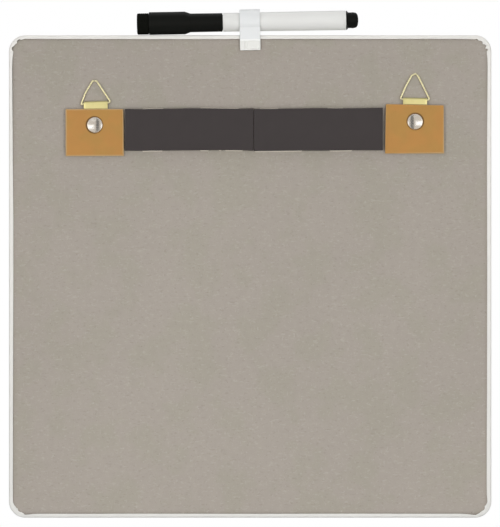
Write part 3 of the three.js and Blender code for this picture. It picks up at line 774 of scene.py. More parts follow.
class WHITEBOARD_OT_backing(bpy.types.Operator):
    """Make the grey chipboard, rolled down under the lip, and finish the panel inside"""

    bl_idname = "whiteboard.backing"
    bl_label = "Chipboard backing"

    def execute(self, context):
        board = context.scene.board_sizes
        colours = context.scene.board_colours
        low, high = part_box("backing_board")
        edge = low.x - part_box("face_sheet")[0].x
        piece = board_outline(board, edge, high.y)
        take_all()
        extrude(0, -(high.y - low.y - board.roll_depth), 0)
        bpy.ops.mesh.inset(thickness=board.lip - edge - ROLL_START, depth=0)
        before = 0
        for i in range(1, ROLL_STEPS + 1):
            rise = board.roll_depth * math.sqrt(1 - (1 - i / ROLL_STEPS) ** ROLL_CURVE)
            bpy.ops.mesh.inset(thickness=board.roll_width / ROLL_STEPS, depth=rise - before)
            before = rise
        self.note_rim(piece, board)
        leave()
        chipboard = grey_chipboard(colours.chipboard)
        dress(piece, "chipboard_backing", chipboard, "board", "backing_board")
        coat("core_panel", core_fibreboard(colours.core))
        return {"FINISHED"}

    def note_rim(self, piece, board):
        """Note at each point of the open mesh how near the lip it is: 1 beside it, 0 past the roll."""
        centre = middle_of("face_sheet")
        flat_x, flat_z = flat_reach(board)
        mesh = bmesh.from_edit_mesh(piece.data)
        rim = mesh.verts.layers.float.new(RIM)
        for vertex in mesh.verts:
            x, z = abs(vertex.co.x - centre.x) - flat_x, abs(vertex.co.z - centre.z) - flat_z
            outward = math.hypot(x, z) if x > 0 and z > 0 else max(x, z)
            past_lip = board.corner - outward - board.lip
            vertex[rim] = min(1, max(0, 1 - past_lip / board.roll_width))
        bmesh.update_edit_mesh(piece.data)


# How the magnet strips' top and bottom edges wander, in millimetres, at even steps from the left
STRIP_EDGES = {
    "left": {
        "top": (-0.55, -0.75, -0.55, -0.45, -0.2, -0.2, -0.4, -0.5, -0.2),
        "bottom": (0.1, 0.0, 0.1, 0.15, 0.25, 0.3, 0.4, 0.35, 0.05),
    },
    "right": {
        "top": (-0.85, -0.95, -0.75, -0.6, -0.5, -0.55, -0.5, -0.4, -0.15),
        "bottom": (0.1, 0.2, 0.35, 0.45, 0.4, 0.5, 0.6, 0.6, 0.55),
    },
}
# How far the strips and their tapes reach past the ends of their nodes, in millimetres: left end, right end
STRIP_ENDS = {"left": (-0.55, 0), "right": (0, 0.8)}
TAPE_ENDS = {"left": (-1.2, 0), "right": (0, -0.5)}
# Where tape shows past the strips, in millimetres from the board's centre line: start, end
TAPE_SHOWS = {
    "top": ((-63.8, -51), (-29.6, -6.5), (5.7, 16.1), (45, 54.3)),
    "bottom": ((-63.8, -51.6), (-29.6, -24.4), (-18.2, -17.2), (-14.6, -4.7), (2.2, 30), (46.2, 59)),
}
# How far the tape's edges are moved out where they show and where they don't, in millimetres
TAPE_OUT, TAPE_IN = 0.22, -0.65
STRIP_CUTS, TAPE_CUTS = 36, 120


def span(edge):
    """How far an edge reaches along X, Y and Z."""
    return Vector(abs(b - a) for a, b in zip(*(vertex.co for vertex in edge.verts)))


def strip_block(node, cuts):
    """A block that fills a node's box, cut across into even lengths."""
    low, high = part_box(node)
    piece = begin(bpy.ops.mesh.primitive_cube_add, size=1, location=(low + high) / 2, scale=high - low)
    settle(piece)
    edit(piece)
    pick("edges", lambda edge: span(edge).x > (high.x - low.x) / 2)
    bpy.ops.mesh.subdivide(number_cuts=cuts)
    return piece


def shift_rows(piece, node, shift_at, ends):
    """Move the rows of an open block up or down by what shift_at says, and its ends outwards."""
    low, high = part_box(node)
    mesh = bmesh.from_edit_mesh(piece.data)
    for vertex in mesh.verts:
        row = "top" if vertex.co.z > (low.z + high.z) / 2 else "bottom"
        share = (vertex.co.x - low.x) / (high.x - low.x)
        vertex.co.z += shift_at(row, vertex.co.x, share) * MM
        vertex.co.x += (ends[1] * share - ends[0] * (1 - share)) * MM
    bmesh.update_edit_mesh(piece.data)
    leave()


class WHITEBOARD_OT_magnets(bpy.types.Operator):
    """Lay the two flexible magnet strips on their tape"""

    bl_idname = "whiteboard.magnets"
    bl_label = "Magnet strips"

    def execute(self, context):
        colours = context.scene.board_colours
        rubber = magnet_rubber(colours.magnet)
        tape = pale_tape("strip_tape", colours.tape)
        for side in ("left", "right"):
            node = f"magnet_strip_{side}"
            edges = STRIP_EDGES[side]
            piece = strip_block(node, STRIP_CUTS)
            shift_rows(piece, node, lambda row, x, share: along_table(edges[row], share), STRIP_ENDS[side])
            soften(piece, 0.12 * MM, 40, 2)
            dress(piece, f"flexible_magnet_{side}", rubber, "board", node)
            self.lay_tape(side, edges, tape)
        return {"FINISHED"}

    def lay_tape(self, side, edges, tape):
        """A strip of tape that shows past its magnet here and there."""
        node = f"magnet_tape_{side}"

        def shift_at(row, x, share):
            outward = 1 if row == "top" else -1
            shown = any(start * MM <= x <= end * MM for start, end in TAPE_SHOWS[row])
            return along_table(edges[row], share) + outward * (TAPE_OUT if shown else TAPE_IN)

        piece = strip_block(node, TAPE_CUTS)
        shift_rows(piece, node, shift_at, TAPE_ENDS[side])
        dress(piece, f"strip_tape_{side}", tape, "board", node)


def turned_by(degrees):
    """A turn in the board's plane, counter-clockwise as seen from behind."""
    return Matrix.Rotation(-math.radians(degrees), 4, "Y")


def hinge_of(side):
    """Where the hinge of a ring is."""
    return Vector(JOINTS[f"ring_{side}_swing"]["pos_m"])


# How pale each plate's rim is along its top, right, bottom and left sides
RIM_SHARES = {"left": (0.5, 1, 0.95, 1), "right": (0.45, 1, 0.95, 0.4)}
# Corners of the hanger plates from the middle of each, in millimetres: across and up
PLATES = {
    "left": ((-16.75, 13.8), (16.55, 13.8), (16.95, -13.3), (-16.7, -13.45)),
    "right": ((-16.9, 15.1), (16.5, 14.4), (16.7, -13.4), (-17.4, -13.5)),
}
RIM_CUTS = 4
# A foam pad's share of its plate, across and up, and the slot that it leaves for the strap: half its width,
# and how far below the rivet it ends
PAD_SHARE = (0.955, 0.95)
PAD_SLOT, PAD_FOOT = 7.9 * MM, 5.3 * MM


def inside(corners, x, z):
    """How far a place lies in from each side of a shape, its corners clockwise as seen from behind."""
    gaps = []
    for (ax, az), (bx, bz) in zip(corners, corners[1:] + corners[:1]):
        run = math.hypot(bx - ax, bz - az)
        gaps.append(((z - az) * (ax - bx) - (x - ax) * (az - bz)) / run)
    return gaps


class WHITEBOARD_OT_plates(bpy.types.Operator):
    """Cut the two tan hanger plates and finish the foam pads under them"""

    bl_idname = "whiteboard.plates"
    bl_label = "Hanger plates"

    def execute(self, context):
        sizes = context.scene.hanger_sizes
        colours = context.scene.fitting_colours
        rivets = [middle_of(f"rivet_cap_{side}") for side in PLATES]
        tan = tan_hardboard(colours.hardboard, colours.cut_edge, rivets)
        foam = pale_tape("foam_pad", context.scene.board_colours.foam)
        for side, corners in PLATES.items():
            node = f"hanger_plate_{side}"
            depth = size_of(node, 1)
            corners = tuple((x * MM, z * MM) for x, z in corners)
            piece = slab(corners, -depth / 2, depth)
            pick("faces", lambda face: face.normal.y < -0.9)
            for _ in range(RIM_CUTS):
                bpy.ops.mesh.inset(thickness=sizes.plate_rim / RIM_CUTS, depth=0)
            pick("edges", lambda edge: span(edge).y > depth / 2)
            bpy.ops.mesh.bevel(offset=0.4 * MM, segments=3, affect="EDGES")
            self.round_rim(piece, corners, sizes, RIM_SHARES[side])
            settle(piece, Matrix.Translation(middle_of(node)))
            dress(piece, f"hardboard_plate_{side}", tan, "board", node, 50)
            self.cut_pad(side, corners, foam)
        return {"FINISHED"}

    def cut_pad(self, side, corners, foam):
        """A foam pad a little smaller than its plate, open at the top where the strap runs through."""
        node = f"hanger_pad_{side}"
        low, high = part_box(node)
        middle, rivet = middle_of(f"hanger_plate_{side}"), middle_of(f"rivet_cap_{side}")
        across, up = PAD_SHARE
        top_left, top_right, low_right, low_left = ((x * across, z * up) for x, z in corners)
        slot = hinge_of(side).x - middle.x
        left, right = slot - PAD_SLOT, slot + PAD_SLOT
        foot = rivet.z - middle.z - PAD_FOOT
        outline = (
            top_left, (left, top_left[1]), (left, foot), (right, foot), (right, top_right[1]), top_right,
            low_right, low_left,
        )
        piece = slab(outline, 0, high.y - low.y)
        leave()
        settle(piece, Matrix.Translation((middle.x, low.y, middle.z)))
        dress(piece, f"foam_pad_{side}", foam, "board", node)

    def round_rim(self, piece, corners, sizes, shares):
        """Let the face fall away along the plate's sides, and note how near each point is to them."""
        mesh = bmesh.from_edit_mesh(piece.data)
        rim = mesh.verts.layers.float.new(RIM)
        for vertex in mesh.verts:
            gaps = inside(corners, vertex.co.x, vertex.co.z)
            near = max(0, 1 - max(0, min(gaps)) / sizes.plate_rim)
            if vertex.co.y < 0:
                vertex.co.y += sizes.plate_fall * near ** 3
            vertex[rim] = near * shares[gaps.index(min(gaps))]
        bmesh.update_edit_mesh(piece.data)
        leave()


# How each strap sits: its turn in degrees, counter-clockwise from behind, and its shift to the right in
# millimetres
STRAP_PLACES = {"left": (2.0, 0.3), "right": (-1.2, 0)}
# Room between the chipboard and a strap, between its two leaves, and between its fold and the plate below
STRAP_LIFT, LEAF_ROOM, HEM_ROOM = 0.4 * MM, 0.1 * MM, 0.06 * MM
STRAP_CUTS = 8


def plate_top(side, x):
    """Height of a plate's top edge at a place across the board."""
    (ax, az), (bx, bz) = PLATES[side][:2]
    middle = middle_of(f"hanger_plate_{side}")
    share = ((x - middle.x) / MM - ax) / (bx - ax)
    return middle.z + (az + (bz - az) * share) * MM


class WHITEBOARD_OT_straps(bpy.types.Operator):
    """Fold the brass strips round the rings' bars"""

    bl_idname = "whiteboard.straps"
    bl_label = "Brass straps"

    def execute(self, context):
        sizes = context.scene.hanger_sizes
        colours = context.scene.fitting_colours
        brass = bright_metal("pale_brass_strip", colours.strap, 0.3, (0.05, 1, 1), 0.08)
        post = bright_metal("nickel_post", colours.nickel, 0.25, (1, 1, 1), 0.1)
        for side, (tilt, shift) in STRAP_PLACES.items():
            hinge = hinge_of(side)
            fitting = Matrix.Translation((hinge.x, board_back(), hinge.z)) @ turned_by(tilt)
            bar = fitting.inverted() @ hinge
            width, gauge = sizes.strap_width, sizes.strap_gauge
            loop = sizes.wire / 2 + sizes.strap_room + gauge / 2
            rear = -STRAP_LIFT - gauge / 2
            front = rear - gauge - LEAF_ROOM
            rest = plate_top(side, hinge.x) - hinge.z + gauge / 2 + HEM_ROOM
            path = self.fold((bar.y, bar.z), loop, rear, front, rest)
            piece = draw([(0, y, z) for y, z in path])
            take_all()
            bpy.ops.transform.translate(value=(bar.x + shift * MM - width / 2, 0, 0))
            for _ in range(STRAP_CUTS):
                extrude(width / STRAP_CUTS, 0, 0)
            self.seat_hem(piece, side, bar, rear, rest + 0.5 * MM)
            face_outwards()
            leave()
            modify(piece, "SOLIDIFY", thickness=gauge, offset=0, use_even_offset=True)
            soften(piece, 0.14 * MM, 50, 3)
            settle(piece, fitting)
            dress(piece, f"brass_strap_{side}", brass, "board", f"hanger_strap_{side}")
            coat(f"rivet_post_{side}", post)
        return {"FINISHED"}

    def seat_hem(self, piece, side, bar, rear, height):
        """Slope the fold's lower edge along the top of its plate."""
        (ax, az), (bx, bz) = PLATES[side][:2]
        rise = (bz - az) / (bx - ax)
        slope = math.tan(math.atan(rise) - math.radians(STRAP_PLACES[side][0]))
        mesh = bmesh.from_edit_mesh(piece.data)
        for vertex in mesh.verts:
            if vertex.co.z < height and vertex.co.y < rear - 0.01 * MM:
                vertex.co.z += (vertex.co.x - bar.x) * slope
        bmesh.update_edit_mesh(piece.data)

    def fold(self, bar, radius, rear, front, rest):
        """The strip's middle line: up behind, round the bar, down in front, and in over the plate's top."""
        tail, leaving, bend = -16.8 * MM, -2.6 * MM, 0.18 * MM
        away = Vector((rear - bar[0], leaving - bar[1]))
        touch = math.degrees(math.atan2(away.y, away.x) + math.acos(radius / away.length))
        belly = bar[0] - radius
        return [
            (rear, tail), (rear, leaving), *arc(bar, radius, touch, 180, 28),
            *arc((belly + bend, rest + bend), bend, 180, 270, 6),
            *arc((front - bend, rest - bend), bend, 90, 0, 6), (front, tail),
        ]


# The rings' wires from end to end: across and up from the hinge, and the bend's radius, in millimetres
RING_CORNERS = {
    "left": ((-0.66, 13, 0), (-1.55, 13, 0.45), (-5.75, 5.9, 12), (-8.5, -1.5, 0.45), (-7.0, -0.42, 0.4),
             (9.1, 0.5, 0.8), (0.85, 13, 0.5), (-0.4, 13, 0)),
    "right": ((0.75, 14.6, 0), (0.4, 15.2, 0.35), (-2, 14.1, 0.6), (-5.6, 7.5, 14), (-8.65, 0.42, 0.8),
              (8.65, -0.15, 0.9), (2.05, 13.3, 1.5), (1.1, 14.5, 0)),
}
# How far each ring leans towards the board, in degrees
RING_LEAN = {"left": 2.17, "right": 1.92}


def bent(corners, steps=8):
    """The middle line of a wire that is bent at each corner, as places across and up."""
    line = [Vector(corners[0][:2])]
    for before, (x, z, radius), after in zip(corners, corners[1:], corners[2:]):
        corner = Vector((x, z))
        back, onward = ((Vector(other[:2]) - corner).normalized() for other in (before, after))
        half = back.angle(onward) / 2
        middle = corner + (back + onward).normalized() * radius / math.sin(half)
        run = radius / math.tan(half)
        first, last = corner + back * run - middle, corner + onward * run - middle
        line += [middle + first.slerp(last, i / steps) * radius for i in range(steps + 1)]
    return [*line, Vector(corners[-1][:2])]


class WHITEBOARD_OT_rings(bpy.types.Operator):
    """Bend the two triangle rings from brass wire"""

    bl_idname = "whiteboard.rings"
    bl_label = "Wire rings"

    def execute(self, context):
        radius = context.scene.hanger_sizes.wire / 2
        brass = bright_metal("bright_brass_wire", context.scene.fitting_colours.ring, 0.24, (1, 1, 1), 0.1)
        for side, corners in RING_CORNERS.items():
            draw([(place.x * MM, 0, place.y * MM) for place in bent(corners)])
            leave()
            bpy.ops.object.convert(target="CURVE")
            wire = bpy.context.object
            wire.data.dimensions = "3D"
            wire.data.bevel_depth = radius
            wire.data.bevel_resolution = 6
            wire.data.use_fill_caps = True
            bpy.ops.object.convert(target="MESH")
            piece = bpy.context.object
            edit(piece)
            take_all()
            bpy.ops.mesh.remove_doubles(threshold=0.0005 * MM)
            face_outwards()
            leave()
            lean = Matrix.Rotation(-math.radians(RING_LEAN[side]), 4, "X")
            settle(piece, Matrix.Translation(hinge_of(side)) @ lean)
            node = f"hanger_ring_{side}"
            dress(piece, f"triangle_ring_{side}", brass, f"ring_{side}", node, 40)
        return {"FINISHED"}


# How far each cap sits off its post's middle, in millimetres: across and up
RIVET_SHIFTS = {"left": (0.3, -0.1), "right": (-0.2, -0.2)}


class WHITEBOARD_OT_rivets(bpy.types.Operator):
    """Dome the two nickel rivet caps"""

    bl_idname = "whiteboard.rivets"
    bl_label = "Rivet caps"

    def execute(self, context):
        sizes = context.scene.hanger_sizes
        colour = context.scene.fitting_colours.nickel
        nickel = bright_metal("bright_nickel_cap", colour, 0.08, (1, 1, 1), 0.12)
        radius, rise = sizes.rivet, sizes.rivet_rise
        crown, shoulder = 28 * MM, 0.4 * MM
        dome, out = rise - crown, radius - 0.63 * MM
        bend = (out, dome + math.sqrt((crown - shoulder) ** 2 - out ** 2))
        meeting = math.degrees(math.acos(out / (crown - shoulder)))
        stations = [(radius - 0.9 * MM, 0), (radius, 0), *arc(bend, shoulder, 18, meeting, 9)]
        stations += arc((0, dome), crown, meeting + 0.6, 89.9, 14)
        for side, (across, up) in RIVET_SHIFTS.items():
            node = f"rivet_cap_{side}"
            middle = middle_of(node)
            seat = Vector((middle.x + across * MM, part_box(node)[1].y, middle.z + up * MM))
            piece = turn(stations, 72)
            settle(piece, Matrix.Translation(seat) @ Matrix.Rotation(math.pi / 2, 4, "X"))
            dress(piece, f"nickel_rivet_{side}", nickel, "board", node, 60)
        return {"FINISHED"}


# From the middle of the clip along the marker to the cap's rim
CAP_RIM = -16.1 * MM


def bore_middle(sizes):
    """The middle of the clip's bore, and how far the marker leans there, in degrees."""
    axis = Vector(JOINTS["marker_slide"]["axis"])
    middle = middle_of("face_sheet")
    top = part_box("face_sheet")[1].z
    return Vector((middle.x, middle.y, top + sizes.clip_rise)), math.degrees(math.atan2(axis.z, axis.x))


def lathe(sizes, rows, through=False):
    """Turn a piece from rows of (radius, place), in millimetres from the cap's rim along the marker."""
    piece = turn([(radius * MM, along * MM) for radius, along in rows], 96, through)
    middle, tilt = bore_middle(sizes)
    along = Matrix.Translation((CAP_RIM, 0, 0)) @ Matrix.Rotation(math.pi / 2, 4, "Y")
    settle(piece, Matrix.Translation(middle) @ turned_by(tilt) @ along)
    return piece


def satin_black(colours):
    """The plastic that the end plug, the nose and the cap share."""
    known = bpy.data.materials.get("satin_black_plastic")
    return known or moulded_plastic("satin_black_plastic", colours.black, 0.4, 0.06, 0.1)


# Room between the board and the clip's legs, and how far the clip sits to the left of the board's middle
CLIP_ROOM, CLIP_SHIFT = 0.2 * MM, 0.22 * MM
# How far below the board's top edge the legs pinch it and the tabs end, and how far the tabs flare
PINCH_DROP, TAB_DROP, TAB_FLARE = 3 * MM, 8.9 * MM, 0.9 * MM
# Where a leg's outer face leaves the ring, in degrees
LEG_ANGLE = -30
# Where cuts and panels lie across the tabs, in millimetres from the clip's middle
PANEL_CUTS = (-3.35, -2.35, -1.5)
PANEL_MIDDLES = (-2.85, 1.75)


class WHITEBOARD_OT_clip(bpy.types.Operator):
    """Mould the clip that straddles the board's top edge and holds the marker"""

    bl_idname = "whiteboard.clip"
    bl_label = "Marker clip"

    def execute(self, context):
        sizes = context.scene.marker_sizes
        width, bore, leg = sizes.clip_width, sizes.clip_bore, sizes.clip_leg
        ring = bore + sizes.clip_wall
        through, tilt = bore_middle(sizes)
        pinch_in = size_of("face_sheet", 1) / 2 + CLIP_ROOM
        pinch_out, pinch_z = pinch_in + leg, -sizes.clip_rise - PINCH_DROP
        tab_out, tab_z = pinch_out + TAB_FLARE, -sizes.clip_rise - TAB_DROP
        side = [
            *arc((0, 0), ring, -90, self.roof_angle(ring, pinch_in, pinch_out, pinch_z), 8),
            (pinch_in, pinch_z),
            (tab_out - leg, tab_z),
            (tab_out, tab_z),
            (pinch_out, pinch_z),
            *arc((0, 0), ring, LEG_ANGLE, 90, 44),
        ]
        outline = side + [(-y, z) for y, z in reversed(side[1:-1])]
        piece = draw([(0, y, z) for y, z in outline], closed=True)
        bpy.ops.mesh.select_all(action="DESELECT")
        bpy.ops.mesh.primitive_circle_add(vertices=96, radius=bore, rotation=(0, math.pi / 2, 0))
        take_all()
        bpy.ops.mesh.fill()
        take_all()
        extrude(width, 0, 0)
        take_all()
        bpy.ops.transform.translate(value=(-width / 2, 0, 0))
        face_outwards()
        leave()
        soften(piece, sizes.clip_edge, 50, 5)
        self.sink_panels(piece, width, tab_z, pinch_z)
        settle(piece, Matrix.Translation(through - Vector((CLIP_SHIFT, 0, 0))) @ turned_by(tilt))
        # Heights of the painted highlights on the clip: the pinch crease and the tabs' lower ends
        folds = (through.z + pinch_z, through.z + tab_z)
        colour = context.scene.marker_colours.clip
        white = moulded_plastic("cool_white_plastic", colour, 0.38, 0.4, 0.015, folds)
        dress(piece, "moulded_clip", white, "clip", "marker_clip", 19)
        return {"FINISHED"}

    def roof_angle(self, ring, pinch_in, pinch_out, pinch_z):
        """Where a leg's inner face, carried up parallel to its outer face, meets the ring, in degrees."""
        top = Vector((math.cos(math.radians(LEG_ANGLE)), math.sin(math.radians(LEG_ANGLE)))) * ring
        slope = (top.x - pinch_out) / (top.y - pinch_z)
        base = pinch_in - slope * pinch_z
        steep = 1 + slope ** 2
        drop = (base * slope + math.sqrt(steep * ring ** 2 - base ** 2)) / steep
        return math.degrees(math.atan2(-drop, base - slope * drop))

    def sink_panels(self, piece, width, low, high):
        """Mould a groove and a shallow panel into the outside of each tab."""
        middle = (low + high) / 2

        def outside(face):
            centre, across = face.calc_center_median(), face.normal.y
            return abs(across) > 0.9 and across * centre.y > 0 and abs(centre.z - middle) < 1 * MM

        def on_panel(face):
            x = face.calc_center_median().x / MM
            within = all(low + 0.3 * MM < vertex.co.z < high - 0.3 * MM for vertex in face.verts)
            return outside(face) and within and any(abs(x - place) < 0.3 for place in PANEL_MIDDLES)

        edit(piece)
        pick("faces", lambda face: outside(face) and face.calc_area() > width * 3 * MM)
        bpy.ops.mesh.inset(thickness=0.45 * MM, depth=0, use_individual=True)
        mesh = bmesh.from_edit_mesh(piece.data)
        inner = [face for face in mesh.faces if face.select]
        rows = [edge.index for face in inner for edge in face.edges if span(edge).x > width / 2]
        pick("edges", lambda edge: edge.index in rows)
        bpy.ops.mesh.subdivide(number_cuts=len(PANEL_CUTS))
        mesh = bmesh.from_edit_mesh(piece.data)
        cuts = {vertex for edge in mesh.edges if edge.select for vertex in edge.verts}
        places = sorted({round(vertex.co.x / MM, 3) for vertex in cuts})
        wanted = dict(zip(places, (places[0], *PANEL_CUTS, places[-1])))
        for vertex in cuts:
            vertex.co.x = wanted[round(vertex.co.x / MM, 3)] * MM
        bmesh.update_edit_mesh(piece.data)
        pick("faces", on_panel)
        bpy.ops.mesh.inset(thickness=0.22 * MM, depth=-0.3 * MM, use_individual=True)
        leave()


# The end plug's dome, as shares of its radius and of its height
PLUG_DOME = (
    (0.995, 0.12), (0.985, 0.26), (0.96, 0.4), (0.92, 0.54), (0.85, 0.67), (0.75, 0.79), (0.62, 0.88),
    (0.46, 0.94), (0.28, 0.98), (0.1, 1),
)
# Grooves round the eraser felt, in millimetres from the cap's rim, and how far the felt sags in its socket
FELT_GROOVES = (-44.0, -45.15, -46.3, -47.45, -48.5)
FELT_SAG = 0.2 * MM


class WHITEBOARD_OT_marker(bpy.types.Operator):
    """Turn the marker's barrel, end plug, nose, nib and reservoir"""

    bl_idname = "whiteboard.marker"
    bl_label = "Marker"

    def execute(self, context):
        sizes = context.scene.marker_sizes
        colours = context.scene.marker_colours
        white = moulded_plastic("pale_grey_plastic", colours.barrel, 0.36, 0.35, 0.015)
        black = satin_black(colours)
        fibre = soft_felt("nib_fibre", colours.nib)
        front, rear, plug = sizes.barrel_front / MM, sizes.barrel_rear / MM, sizes.plug_radius / MM
        barrel = [
            (4.5, 0.3), (front - 0.12, 0.3), (front, 0.42), (rear - 0.05, 70.2), (rear - 0.22, 70.4),
            (rear - 0.05, 70.6), (rear, 70.7), (rear, 71.45), (rear - 0.15, 71.6), (4.5, 71.6), (4.5, 0.3),
        ]
        end_plug = [
            (3.5, 64.9), (4.4, 64.9), (4.4, 71.9), (rear - 0.18, 71.9), (rear - 0.1, 71.98),
            (rear - 0.14, 72.1), (plug + 0.35, 72.75), (plug, 72.9), (plug, 74.6), (plug + 0.05, 75.0),
            (plug + 0.13, 75.5), (plug + 0.1, 75.8),
            *((plug * out, 76.0 + 2.85 * along) for out, along in PLUG_DOME),
        ]
        nose = [
            (3.6, 9.3), (4.4, 9.3), (4.3, -6.5), (4.1, -7.4), (3.3, -11.2), (3.0, -12), (2.95, -14.8),
            (2.75, -15), (2.15, -15), (2.15, 2), (3.6, 2), (3.6, 9.3),
        ]
        nib = [
            (1.2, 2), (2, 1.6), (2, -18), (1.96, -18.6), (1.8, -19.3), (1.5, -19.9), (1, -20.3), (0.3, -20.5),
        ]
        reservoir = [(2.9, 2.3), (3.4, 2.8), (3.4, 61.8), (2.9, 62.3)]
        for name, rows, through, material, slot, node in (
            ("barrel", barrel, True, white, "barrel_plastic", "marker_barrel"),
            ("end_plug", end_plug, False, black, "black_plastic", "barrel_end_plug"),
            ("nose", nose, True, black, "black_plastic", "nib_section"),
            ("nib", nib, False, fibre, "nib_fibre", "marker_nib"),
            ("reservoir", reservoir, False, fibre, "nib_fibre", "ink_reservoir"),
        ):
            piece = lathe(sizes, rows, through)
            dress(piece, f"marker_{name}", material, "marker", node, 25)
        return {"FINISHED"}


class WHITEBOARD_OT_cap(bpy.types.Operator):
    """Turn the marker's cap and the felt in its end"""

    bl_idname = "whiteboard.cap"
    bl_label = "Marker cap"

    def execute(self, context):
        sizes = context.scene.marker_sizes
        colours = context.scene.marker_colours
        wide, neck, felt = sizes.cap_radius / MM, sizes.neck_radius / MM, sizes.felt_radius / MM
        piece = lathe(sizes, [
            (0.3, -27.2), (5.55, -27.2), (5.55, -42.45), (5.7, -42.6), (wide - 0.22, -42.6),
            (wide - 0.07, -42.53), (wide, -42.35), (wide, -21.9), (wide - 0.05, -21.6), (wide - 0.2, -21.2),
            (neck + 0.15, -18.95), (neck + 0.03, -18.7), (neck, -18.45), (neck - 0.05, -0.45),
            (neck - 0.12, -0.12), (neck - 0.3, 0), (4.65, 0), (4.55, -0.1), (4.55, -18.4), (5.3, -20.9),
            (5.3, -26), (4, -26), (4, -12.8), (3.25, -12.8), (3.25, -26), (0.3, -26),
        ])
        dress(piece, "marker_cap_shell", satin_black(colours), "cap", "marker_cap", 25)
        grooves = [
            row for place in FELT_GROOVES
            for row in ((felt, place + 0.25), (felt - 0.16, place), (felt, place - 0.25))
        ]
        piece = lathe(sizes, [
            (5.3, -27.45), (5.3, -42.85), (felt - 0.25, -42.85), (felt, -43.1), *grooves,
            (felt, -48.85), (felt - 0.18, -49.2), (felt - 0.6, -49.45), (1, -49.45),
        ])
        settle(piece, Matrix.Translation((0, 0, -FELT_SAG)))
        black = soft_felt("black_felt", colours.felt)
        dress(piece, "eraser_felt_plug", black, "cap", "eraser_felt", 30)
        return {"FINISHED"}


class StageSettings(bpy.types.PropertyGroup):
    camera_distance: length("Camera distance", "From the camera to the board's back", 1.4)
    floor_drop: length("Floor drop", "From the board's bottom edge down to the floor", 0.3)
    lamp_power: bpy.props.FloatProperty(
        name="Lamp power", description="Each side lamp", default=7.9, min=0, unit="POWER"
    )
    sky_above: bpy.props.FloatProperty(
        name="Sky above", description="Light from overhead", default=0.58, min=0, max=1, subtype="FACTOR"
    )
    sky_below: bpy.props.FloatProperty(
        name="Sky below", description="Light from underneath", default=0.05, min=0, max=1, subtype="FACTOR"
    )


# Lamps from the board's middle: place, width and height, share of the power, and whether gloss shows them
LAMPS = {
    "side_left": ((-0.6, -1.3, -0.1), (0.9, 0.9), 1, False),
    "side_right": ((0.6, -1.3, -0.1), (0.9, 0.9), 1, False),
    "far_left": ((-0.95, 1.2, 0.05), (0.9, 0.9), 1.1, False),
    "far_right": ((0.95, 1.2, 0.05), (0.9, 0.9), 1.1, False),
    "overhead": ((0, 0.28, 1.05), (1.3, 0.5), 0.34, True),
    "low_fill": ((0, -0.45, -0.3), (0.5, 0.1), 0.03, False),
}
# Cards that only gloss shows, from the board's middle: place, width and height, brightness and colour
CARDS = {
    "side_card_left": ((-0.95, -1.05, -0.1), (0.9, 0.9), 2.0, (1, 0.93, 0.8)),
    "side_card_right": ((0.95, -1.05, -0.1), (0.9, 0.9), 2.0, (1, 0.93, 0.8)),
    "far_card_left": ((-0.95, 1.2, 0.05), (0.9, 0.9), 1, (1, 1, 1)),
    "far_card_right": ((0.95, 1.2, 0.05), (0.9, 0.9), 1, (1, 1, 1)),
    "grey_flag": ((0, -1.56, 0), (1.9, 1.5), 0.84, (1, 0.94, 0.86)),
    "tan_table": ((0, -1.555, -0.48), (1.9, 0.42), 0.95, (1, 0.88, 0.72)),
    "ceiling_card": ((0, -1.2, 0.95), (1.9, 0.8), 0.95, (1, 0.98, 0.93)),
    "ceiling_edge": ((-0.12, -1.55, 0.5), (0.6, 0.12), 1.1, (1, 0.97, 0.92)),
    "dark_strip": ((0, -1.54, 0), (0.22, 1.3), 0.24, (1, 0.98, 0.94)),
    "white_card_left": ((-0.47, -1.535, 0.05), (0.48, 0.24), 1.8, (1, 1, 1)),
    "white_card_right": ((0.47, -1.535, 0.08), (0.48, 0.26), 1.8, (1, 1, 1)),
}
# What the picture's longer side spans at the board's back, and where its middle lies, across and up
VIEW_SPAN = 0.305
VIEW_MIDDLE = (-0.0001, -0.0775)
SENSOR = 36
FLOOR_RADIUS = 0.62
# How far from the middle of the floor it begins to fade, and where it is gone
FLOOR_FADE = (0.25, 0.6)


